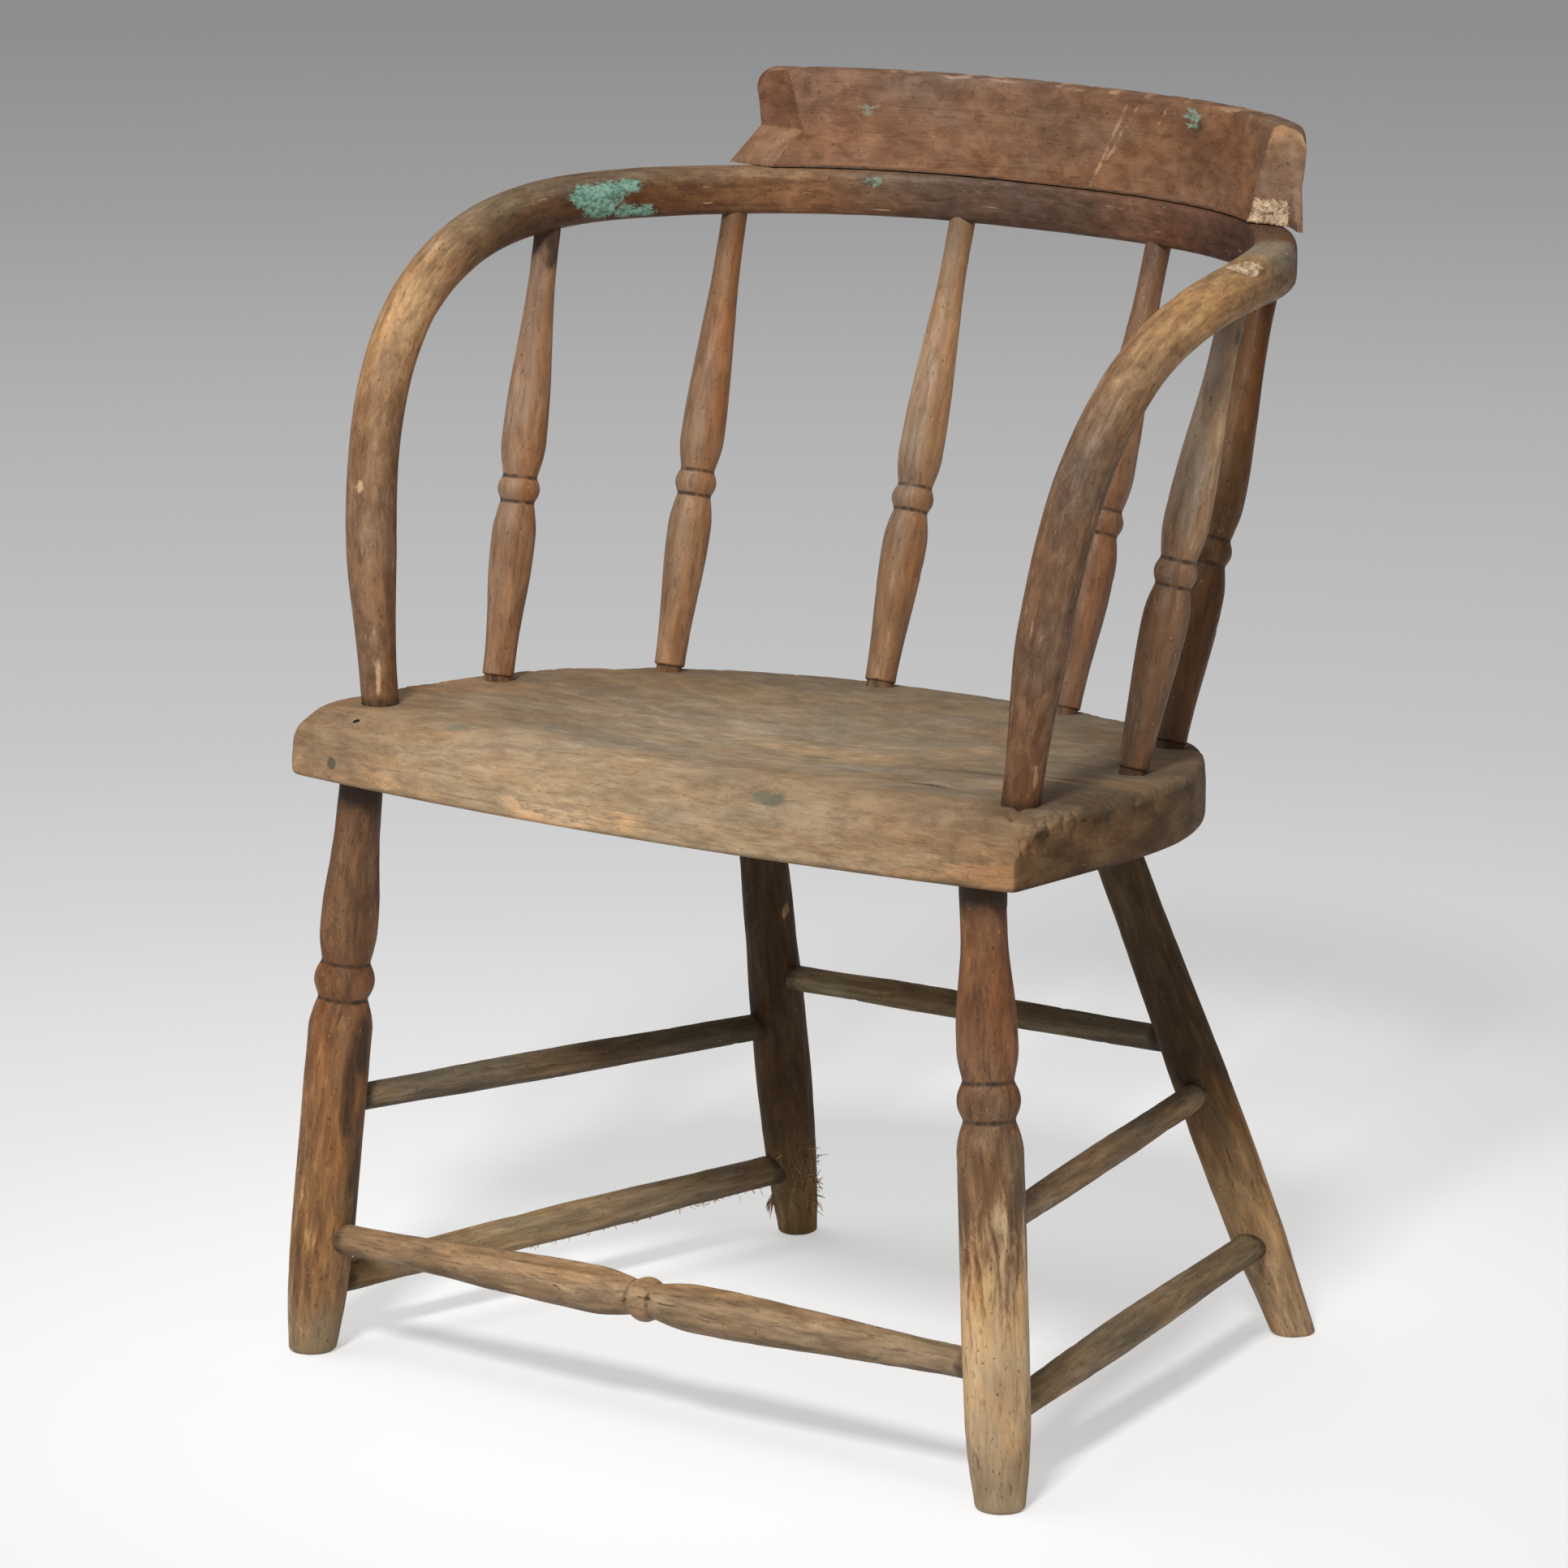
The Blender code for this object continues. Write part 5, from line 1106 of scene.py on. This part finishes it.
def barStraw(base, tip):
    # a fringe of short stalks along the underside of the rear half
    pick = np.random.default_rng(straw["seed"] + 1)
    parts = []
    for _ in range(straw["fringe"]):
        start = base + (tip - base) * pick.uniform(*straw["fringeRange"])
        start = start + np.array([pick.normal(0.0, straw["fringeSide"]), 0.0, straw["fringeUnder"]])
        way = np.array([pick.normal(0.0, straw["fringeSide"]), pick.normal(0.0, straw["fringeAlong"]),
                        -pick.uniform(*straw["fringeDrop"])])
        parts.append(strawStalk(start, way, 0.0, straw["fringeSway"], pick))
    return parts


# dark wood with the shade under the seat painted into its colours
rearFinish = woodFinish(
    "darkRearLegWoodAndSeatShade", dark=(0.020, 0.012, 0.006), mid=(0.042, 0.025, 0.012), light=(0.085, 0.052, 0.025),
    rough=0.64, gloss=0.10, fleckShare=0.15, patch=0.16, contrast=0.34, patina=(30.0, 150.0),
    blotch=(16.0, 80.0), grime=(0.012, 0.008, 0.005), bareDark=(0.17, 0.105, 0.052),
    bareLight=(0.34, 0.225, 0.125), dustDark=(0.07, 0.05, 0.03), dustLight=(0.14, 0.10, 0.06))
for label, side in bothSides:
    leg, flip = rearLeg, np.array([side, 1.0, 1.0])
    base, tip = rearFoot * flip, rearTop * flip
    legAxes["rear" + label] = (base, tip)
    marks = rearLegMarks(np.linalg.norm(tip - base))
    points, local, _, _ = spin(base, tip, marks, leg, leg["seeds"][label])
    reach = local[..., 0]
    tone = along(leg["tones"][label], reach + leg["toneShift"] * cloud(local, leg["toneCell"], 45))
    tone = mottled(tone, local, 43, leg["mottle"], leg["mottleCell"])
    # painted shade under the seat at the top
    wear = layers(spots(points, leg["scar"]), band(reach, *leg["topDarkening"]), band(reach, *leg["footDust"]),
                  0.0, like=reach)
    grain = local + [leg["grainStart"] + side, turning["grainAside"], 0.0]
    parts = [gridPart(points, True, grain, wear, shades(tone))]
    if side < 0:
        parts += legStraw(base, tip)
    makePiece("rearLeg" + label.title(), parts, rearFinish, ["rear_leg_" + label])
print("rear legs done")


# stretchers: plain sticks at the sides and back, a turned one in front
stretcher = dict(
    upper=(0.0180, 0.0195), lower=(0.0205, 0.0235), rear=(0.0172, 0.0190), entry=0.034,
    upperHeights=dict(left=(0.169, 0.166), right=(0.1725, 0.1745)),
    lowerHeights=dict(left=(0.046, 0.053), right=(0.056, 0.067)), rearHeights=(0.204, 0.208),
    frontEnd=0.0205, club=0.0315, neck=0.0225, bead=0.0295, beadLength=0.018, clubReach=0.042,
    frontHeights=(0.0785, 0.0865), step=0.0014, sides=52, soften=2, oval=0.02, dents=0.00045,
    crownReach=0.007, seed=51, grainStart=5.0,
    # shoes have worn the front one flat: which way each flat faces, where it starts and ends, and its depth
    wornFlats=(((0.0, -0.35, 0.94), 0.06, 0.06, 0.0118), ((0.0, -0.85, 0.52), 0.05, 0.09, 0.0116)),
    # dirt at the ends; dirt and painted shade in the front one's grooves and on the dark undersides
    endDirt=(0.55, 0.034, 0.02), grooveDirtAndShade=(0.44, 0.0034, 0.0004), underShade=(0.40, -0.25, -0.7),
    underMottle=0.3, underCell=(0.03, 0.01, 0.01), mottle=0.15, mottleCell=(0.06, 0.010, 0.010), bare=0.05,
    frontBare=0.14, dust=0.2,
    # the front one's lower face is painted darker than its worn top, with dirt and painted shade, and a
    # painted shadow line along the ragged edge between them
    faceMottle=0.40, faceCell=(0.020, 0.008, 0.008), faceLight=1.16, faceShade=(0.24, 0.30, 0.0),
    edgeShadowLine=0.46, edgeAt=(0.14, 0.08), edgeFrom=(0.05, 0.10),
    # tones by the share of the length
    tones=dict(
        sideStretcherLeftUpper=((0.0, (1.8, 1.9, 2.0)), (0.5, (1.25, 1.3, 1.35)), (1.0, (0.5, 0.52, 0.45))),
        sideStretcherRightUpper=((0.0, (1.9, 1.85, 1.8)), (1.0, (1.6, 1.5, 1.35))),
        sideStretcherLeftLower=((0.0, (2.0, 1.85, 1.55)), (0.4, (2.9, 2.95, 2.8)), (1.0, (1.3, 1.2, 1.1))),
        sideStretcherRightLower=((0.0, (1.85, 1.75, 1.6)), (1.0, (1.65, 1.6, 1.45))),
        rearStretcher=((0.0, (2.3, 2.4, 2.3)), (0.5, (1.2, 1.2, 1.1)), (1.0, (1.3, 1.3, 1.2))),
        frontStretcher=((0.0, (1.3, 1.28, 1.2)), (0.5, (1.16, 1.14, 1.04)), (1.0, (1.18, 1.2, 1.12)))))


def legPoint(leg, height):
    # point of a leg's axis at a height above the floor
    base, tip = legAxes[leg]
    return base + (tip - base) * height / tip[2]


def plainMarks(length, end, swell):
    # level ends with an eased swell between them
    return [(0.0, end, "line"), (stretcher["entry"], end, "line"), (0.5 * length, swell, "swell"),
            (length - stretcher["entry"], end, "swell"), (length, end, "line")]


def clubMarks(length):
    # two long clubs that meet a bead in the middle
    bar, middle, half = stretcher, 0.5 * length, 0.5 * stretcher["beadLength"]
    return [(0.0, bar["frontEnd"], "line"), (bar["entry"], bar["frontEnd"], "line"),
            (middle - bar["clubReach"], bar["club"], "swell"), (middle - half, bar["neck"], "round"),
            (middle, bar["bead"], "round"), (middle + half, bar["neck"], "round"),
            (middle + bar["clubReach"], bar["club"], "round"),
            (length - bar["entry"], bar["frontEnd"], "swell"), (length, bar["frontEnd"], "line")]


stretcherFinish = woodFinish(
    "dullStretcherWood", dark=(0.055, 0.037, 0.021), mid=(0.105, 0.073, 0.043), light=(0.18, 0.128, 0.078),
    rough=0.64, gloss=0.14, fleckShare=0.6, byStreak=0.24, patina=(26.0, 170.0), blotch=(13.0, 80.0),
    patch=0.20, contrast=0.29, bareDark=(0.16, 0.115, 0.07), bareLight=(0.34, 0.255, 0.165),
    dustDark=(0.11, 0.083, 0.054), dustLight=(0.19, 0.148, 0.10))
frontBarFinish = woodFinish(
    "rubbedFrontBarWood", dark=(0.105, 0.064, 0.036), mid=(0.22, 0.139, 0.079), light=(0.335, 0.22, 0.13),
    dashShare=0.4, hue=0.5, patina=(30.0, 130.0), blotch=(18.0, 76.0), bareDark=(0.27, 0.17, 0.09),
    bareLight=(0.42, 0.28, 0.16), dustDark=(0.18, 0.125, 0.075), dustLight=(0.30, 0.215, 0.135))
bars = [("sideStretcher" + side.title() + level.title(), "side_stretcher_" + side + "_" + level,
         "front" + side, "rear" + side, stretcher[level + "Heights"][side], stretcher[level])
        for level in ("upper", "lower") for side in ("left", "right")]
for end, widths in (("rear", stretcher["rear"]), ("front", None)):
    bars.append((end + "Stretcher", end + "_stretcher", end + "left", end + "right",
                 stretcher[end + "Heights"], widths))
for number, (name, node, first, second, heights, widths) in enumerate(bars):
    bar, clubbed = stretcher, widths is None
    base, tip = legPoint(first, heights[0]), legPoint(second, heights[1])
    length = np.linalg.norm(tip - base)
    marks = clubMarks(length) if clubbed else plainMarks(length, *widths)
    wornFlats = bar["wornFlats"] if clubbed else ()
    flats = [(way, start, length - end, depth) for way, start, end, depth in wornFlats]
    points, local, _, facing = spin(base, tip, marks, {**bar, "flats": flats}, bar["seed"] + 3 * number)
    reach, upward = local[..., 0], facing[..., 2]
    near = np.minimum(reach, length - reach)
    darkMarks = band(near, *bar["endDirt"])
    # undersides darker: dirt and painted shade
    beneath = band(upward + bar["underMottle"] * cloud(local, bar["underCell"], 57), *bar["underShade"])
    tone = along(bar["tones"][name], reach / length) * (1.0 - beneath)[..., None]
    if clubbed:
        groove = np.abs(np.abs(reach - 0.5 * length) - 0.5 * bar["beadLength"])
        # lighter top face and darker lower face, dirt and painted shade; a painted shadow line along the
        # edge between them
        edgeway = upward + bar["faceMottle"] * cloud(local, bar["faceCell"], 58)
        tone = tone * (bar["faceLight"] - band(edgeway, *bar["faceShade"]))[..., None]
        darkMarks = darkMarks + band(groove, *bar["grooveDirtAndShade"])
        darkMarks = darkMarks + bar["edgeShadowLine"] * bell(edgeway, *bar["edgeAt"]) * eased(near, *bar["edgeFrom"])
    tone = mottled(tone, local, 55 + number, bar["mottle"], bar["mottleCell"])
    wear = layers(bar["frontBare"] if clubbed else bar["bare"], darkMarks, bar["dust"], 0.0, like=reach)
    grain = local + [bar["grainStart"] + number, turning["grainAside"], 0.0]
    parts = [gridPart(points, True, grain, wear, shades(tone))]
    if name == "sideStretcherLeftLower":
        parts += barStraw(base, tip)
    makePiece(name, parts, frontBarFinish if clubbed else stretcherFinish, [node])
print("stretchers done")


# spindles: turned, with a bead a little below the middle
spindle = dict(
    foot=0.0205, footEdge=0.0016, footEdgeRise=0.0012, swell=0.0295, neck=0.0224, bead=0.0280, tenon=0.0174,
    top=0.0172, shoulder=0.0034, beadRise=0.128, beadLength=0.0165, lowerDrop=0.030, upperRise=0.032,
    seatTenon=0.010, bowTenon=0.012, step=0.0010, sides=56, soften=2, oval=0.010, dents=0.00032,
    crownReach=0.006, seed=81, grainStart=12.0, turnStep=0.002,
    # side of the chair, degrees round the seat's back, inset from its edge, reach along the bow
    places=dict(left_side=(-1.0, 13.5, 0.0235, 0.387), left_mid=(-1.0, 45.0, 0.016, 0.243),
                left_back=(-1.0, 78.7, 0.020, 0.085), right_back=(1.0, 76.8, 0.016, 0.075),
                right_mid=(1.0, 42.5, 0.020, 0.232), right_side=(1.0, 16.5, 0.035, 0.375)),
    # bare wood all over and on the beads; dirt and painted shade in the grooves; dirt round the foot; the
    # top darker under the bow
    bare=0.10, beadRub=(0.25, 0.0003, 0.0010), beadFrom=(0.05, 0.07), beadTo=(0.20, 0.17),
    grooveDirtAndShade=(0.60, 0.0030, 0.0003), footDirt=(0.50, 0.0056, 0.0032), topDarkening=0.36, topDarkeningMost=0.62,
    topDarkeningFrom=(0.056, 0.020), topMottle=0.010, topCell=0.008, dust=0.1,
    # tones above the foot and near the top;
    # redder on the side towards the chair's right, greyer on the other
    tones=dict(left_side=((1.12, 1.10, 1.10), (1.42, 1.42, 1.46)),
               left_mid=((1.25, 1.22, 1.14), (1.20, 1.0, 0.82)),
               left_back=((1.1, 1.06, 0.98), (1.68, 1.66, 1.54)),
               right_back=((0.72, 0.68, 0.72), (0.95, 0.9, 0.9)),
               # right_mid's dark tones are painted shade
               right_mid=((0.39, 0.31, 0.19), (0.53, 0.40, 0.24)),
               right_side=((0.61, 0.57, 0.55), (1.38, 1.65, 1.95))),
    toneAt=(0.10, 0.22), topShare=0.62, mottle=0.16, mottleCell=(0.09, 0.008, 0.008), redBand=(0.40, 0.85),
    redMottle=0.25, redCell=(0.05, 0.006, 0.006), greyTone=(0.94, 1.0, 1.10),
    redChange=(0.11, -0.03, -0.22))


def spindleMarks(length):
    # tenon, square shoulder, lower swell, bead between two necks, upper swell, long taper into the bow
    rod, rise, half = spindle, spindle["beadRise"], 0.5 * spindle["beadLength"]
    return [(-rod["seatTenon"], rod["tenon"], "line"), (rod["shoulder"], rod["tenon"], "line"),
            (rod["shoulder"], rod["foot"] - rod["footEdge"], "line"),
            (rod["shoulder"] + rod["footEdgeRise"], rod["foot"], "round"),
            (rise - rod["lowerDrop"], rod["swell"], "swell"), (rise - half, rod["neck"], "round"),
            (rise, rod["bead"], "round"), (rise + half, rod["neck"], "round"),
            (rise + rod["upperRise"], rod["swell"], "round"),
            (length - rod["bowTenon"] - rod["top"], rod["top"], "swell"), (length, rod["top"], "line")]


def spindleEnds(side, degrees, inset, reachUp):
    # foot: in from the seat's edge along its normal; top: middle of the bow;
    # then the length as far as the tenon's end
    turns = math.radians(degrees) + spindle["turnStep"] * np.array([0.0, -1.0, 1.0])
    flat, tall = squaredArc(turns, seat["square"])
    edge = np.stack([seat["halfWidth"] * flat, seat["springY"] + seat["backDepth"] * tall], -1)
    way = unit(edge[2] - edge[1])
    foot = edge[0] + np.array([-way[1], way[0]]) * inset
    base = np.array([side * foot[0], foot[1], float(seatTop(foot[0], foot[1]))])
    middle = settled(bowPoint(np.array(reachUp)) * np.array([side, 1.0, 1.0]))
    underBow = float(bowSection(np.array(reachUp))[1]) / unit(middle - base)[2]
    return base, middle, np.linalg.norm(middle - base) - underBow + spindle["bowTenon"]


spindleFinish = woodFinish(
    "brownSpindleWood", streak=(8.0, 190.0), patina=(34.0, 150.0), blotch=(18.0, 90.0), byStreak=0.24,
    contrast=0.28, patch=0.18, rough=0.53, gloss=0.22, bump=0.45, dark=(0.135, 0.070, 0.036),
    mid=(0.245, 0.138, 0.074), light=(0.36, 0.22, 0.128))
for number, (label, where) in enumerate(spindle["places"].items()):
    rod = spindle
    base, middle, length = spindleEnds(*where)
    points, local, crown, facing = spin(base, middle, spindleMarks(length), rod, rod["seed"] + 3 * number)
    reach = local[..., 0]
    beads = eased(reach, *rod["beadFrom"]) * eased(reach, *rod["beadTo"])
    groove = np.abs(np.abs(reach - rod["beadRise"]) - 0.5 * rod["beadLength"])
    # dirt and painted shade in the grooves, dirt round the foot, and darker at the top under the bow
    darkMarks = band(groove, *rod["grooveDirtAndShade"]) + band(reach, *rod["footDirt"])
    below = length - reach - rod["topMottle"] * cloud(local, rod["topCell"], 88)
    darkMarks = darkMarks + band(below, rod["topDarkeningMost" if label == "left_side" else "topDarkening"],
                       *rod["topDarkeningFrom"])
    lowTone, highTone = rod["tones"][label]
    stops = [(rod["toneAt"][0], lowTone), (rod["toneAt"][1], highTone),
             (length, np.multiply(highTone, rod["topShare"]))]
    tone = mottled(along(stops, reach), local, 83 + number, rod["mottle"], rod["mottleCell"])
    ragged = eased(facing[..., 0] + rod["redMottle"] * cloud(local, rod["redCell"], 87), *rod["redBand"])
    tone = tone * (np.array(rod["greyTone"]) + ragged[..., None] * np.array(rod["redChange"]))
    wear = layers(rod["bare"] + band(crown, *rod["beadRub"]) * beads, darkMarks, rod["dust"], 0.0, like=reach)
    grain = local + [rod["grainStart"] + number, turning["grainAside"], 0.0]
    parts = [gridPart(points, True, grain, wear, shades(tone))]
    makePiece("spindle" + label.title().replace("_", ""), parts, spindleFinish, ["spindle_" + label])
print("spindles done")


# hidden dowels keep their solids and get a pale wood
dowel = dict(stretch=(900.0, 900.0, 40.0), detail=3.0, dark=(0.30, 0.20, 0.11), light=(0.52, 0.39, 0.25),
             rough=0.7)
dowelFinish = bpy.data.materials.new("paleDowelWood")
dowelFinish.use_nodes = True
dowelTree = dowelFinish.node_tree
dowelShader = dowelTree.nodes["Principled BSDF"]
dowelPlace = tool(dowelTree, "ShaderNodeTexCoord").outputs["Object"]
dowelInputs = {0: dowelPlace, 1: dowel["stretch"]}
dowelStretch = tool(dowelTree, "ShaderNodeVectorMath", {"operation": "MULTIPLY"}, dowelInputs).outputs[0]
dowelInputs = {"Vector": dowelStretch, "Scale": 1.0, "Detail": dowel["detail"]}
dowelNoise = tool(dowelTree, "ShaderNodeTexNoise", {}, dowelInputs)
dowelRamp = tool(dowelTree, "ShaderNodeValToRGB", {}, {0: dowelNoise.outputs[0]})
dowelRamp.color_ramp.elements[0].color = (*dowel["dark"], 1.0)
dowelRamp.color_ramp.elements[1].color = (*dowel["light"], 1.0)
dowelTree.links.new(dowelRamp.outputs[0], dowelShader.inputs["Base Color"])
dowelShader.inputs["Roughness"].default_value = dowel["rough"]
for node in ("crest_dowel_left", "crest_dowel_centre", "crest_dowel_right"):
    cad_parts[node].data.materials.clear()
    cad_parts[node].data.materials.append(dowelFinish)


# stage: pale floor that greys with distance, soft light from the front, camera of the photograph
stage = dict(
    rings=(0.0, 0.3, 0.8, 1.6, 3.0, 6.0, 14.0), around=96, toneReach=10.0, floorGlow=0.42,
    floorTones=((0.035, 0.99), (0.08, 0.84), (0.138, 0.74), (0.209, 0.67), (0.298, 0.64), (0.414, 0.60),
                (0.62, 0.49), (0.91, 0.405)),
    worldStrength=0.38, wallGrey=0.275, aim=(0.0, 0.0, 0.45),
    frontKey=dict(turn=math.radians(23.0), height=math.radians(42.0), away=6.0, size=0.9, power=270.0),
    topFill=dict(turn=math.radians(-60.0), height=math.radians(62.0), away=3.4, size=2.4, power=26.0),
    # focal length and frame in pixels of the photograph, sensor in millimetres
    focal=8608.93, frame=1932.0, sensor=36.0, farthest=60.0, turn=math.radians(37.863),
    tilt=math.radians(11.745), camera=(2.6915602, -3.545906, 1.30679))


def seenShare(tree):
    # 1 for rays from the eye, straight or by way of gloss or glass, and 0 for the rays that gather light
    path = tool(tree, "ShaderNodeLightPath")
    share = path.outputs["Is Camera Ray"]
    for ray in ("Is Glossy Ray", "Is Transmission Ray"):
        share = tool(tree, "ShaderNodeMath", {"operation": "MAXIMUM"},
                     {0: share, 1: path.outputs[ray]}).outputs[0]
    return share


def grey(value):
    # one value for all three colours, with full cover
    return (value, value, value, 1.0)


angle = np.linspace(0.0, 2.0 * np.pi, stage["around"], endpoint=False)
ringRadii = np.array(stage["rings"])[:, None]
floorPoints = np.stack([ringRadii * np.cos(angle), ringRadii * np.sin(angle), 0.0 * ringRadii * angle], -1)
floorFaces = gridFaces(len(ringRadii), stage["around"], True)[:, ::-1]
floorMesh = bpy.data.meshes.new("paleFloor")
floorMesh.from_pydata(floorPoints.reshape(-1, 3).tolist(), [], floorFaces.tolist())
paleFloor = bpy.data.objects.new("paleFloor", floorMesh)
bpy.context.scene.collection.objects.link(paleFloor)
floorLook = bpy.data.materials.new("paleFloorPaper")
floorLook.use_nodes = True
floorTree = floorLook.node_tree
floorTree.nodes.clear()
floorPlace = tool(floorTree, "ShaderNodeTexCoord").outputs["Object"]
floorAway = tool(floorTree, "ShaderNodeVectorMath", {"operation": "LENGTH"},
                 {0: floorPlace}).outputs["Value"]
floorInputs = {0: floorAway, 1: stage["toneReach"]}
floorShare = tool(floorTree, "ShaderNodeMath", {"operation": "DIVIDE"}, floorInputs).outputs[0]
floorRamp = tool(floorTree, "ShaderNodeValToRGB", {}, {0: floorShare})
floorStops = floorRamp.color_ramp.elements
for stop, (position, value) in ((0, stage["floorTones"][0]), (1, stage["floorTones"][-1])):
    floorStops[stop].position = position
    floorStops[stop].color = grey(value)
for position, value in stage["floorTones"][1:-1]:
    floorStops.new(position).color = grey(value)
floorInputs = {0: seenShare(floorTree), 1: stage["floorGlow"]}
floorSeen = tool(floorTree, "ShaderNodeMath", {"operation": "MULTIPLY"}, floorInputs).outputs[0]
matt = tool(floorTree, "ShaderNodeBsdfDiffuse", {}, {"Color": floorRamp.outputs[0]})
glow = tool(floorTree, "ShaderNodeEmission", {}, {"Color": floorRamp.outputs[0], "Strength": 1.0})
floorInputs = {0: floorSeen, 1: matt.outputs[0], 2: glow.outputs[0]}
floorMix = tool(floorTree, "ShaderNodeMixShader", {}, floorInputs)
tool(floorTree, "ShaderNodeOutputMaterial", {}, {"Surface": floorMix.outputs[0]})
floorMesh.materials.append(floorLook)

world = bpy.data.worlds.new("studio")
bpy.context.scene.world = world
world.use_nodes = True
worldTree = world.node_tree
worldTree.nodes.clear()
worldInputs = {"Color": grey(1.0), "Strength": stage["worldStrength"]}
softLight = tool(worldTree, "ShaderNodeBackground", {}, worldInputs)
greyWall = tool(worldTree, "ShaderNodeBackground", {}, {"Color": grey(stage["wallGrey"]), "Strength": 1.0})
worldInputs = {0: seenShare(worldTree), 1: softLight.outputs[0], 2: greyWall.outputs[0]}
worldMix = tool(worldTree, "ShaderNodeMixShader", {}, worldInputs)
tool(worldTree, "ShaderNodeOutputWorld", {}, {"Surface": worldMix.outputs[0]})

# square lamps round the chair, each by its turn, height and distance, that look at its middle
for name in ("frontKey", "topFill"):
    kind, aim = stage[name], np.array(stage["aim"])
    lamp = bpy.data.lights.new(name, "AREA")
    lamp.energy, lamp.size = kind["power"], kind["size"]
    level = math.cos(kind["height"])
    way = np.array([math.sin(kind["turn"]) * level, -math.cos(kind["turn"]) * level,
                    math.sin(kind["height"])])
    light = bpy.data.objects.new(name, lamp)
    bpy.context.scene.collection.objects.link(light)
    light.location = aim + way * kind["away"]
    light.rotation_mode = "QUATERNION"
    light.rotation_quaternion = Vector(-way * kind["away"]).to_track_quat("-Z", "Y")

camera = bpy.data.cameras.new("photoCamera")
camera.sensor_width = stage["sensor"]
camera.lens = stage["focal"] * stage["sensor"] / stage["frame"]
camera.clip_end = stage["farthest"]
eye = bpy.data.objects.new("photoCamera", camera)
bpy.context.scene.collection.objects.link(eye)
eye.location = stage["camera"]
eye.rotation_euler = (0.5 * math.pi - stage["tilt"], 0.0, stage["turn"])
bpy.context.scene.camera = eye
bpy.context.scene.view_settings.view_transform = "Standard"
print("stage done")
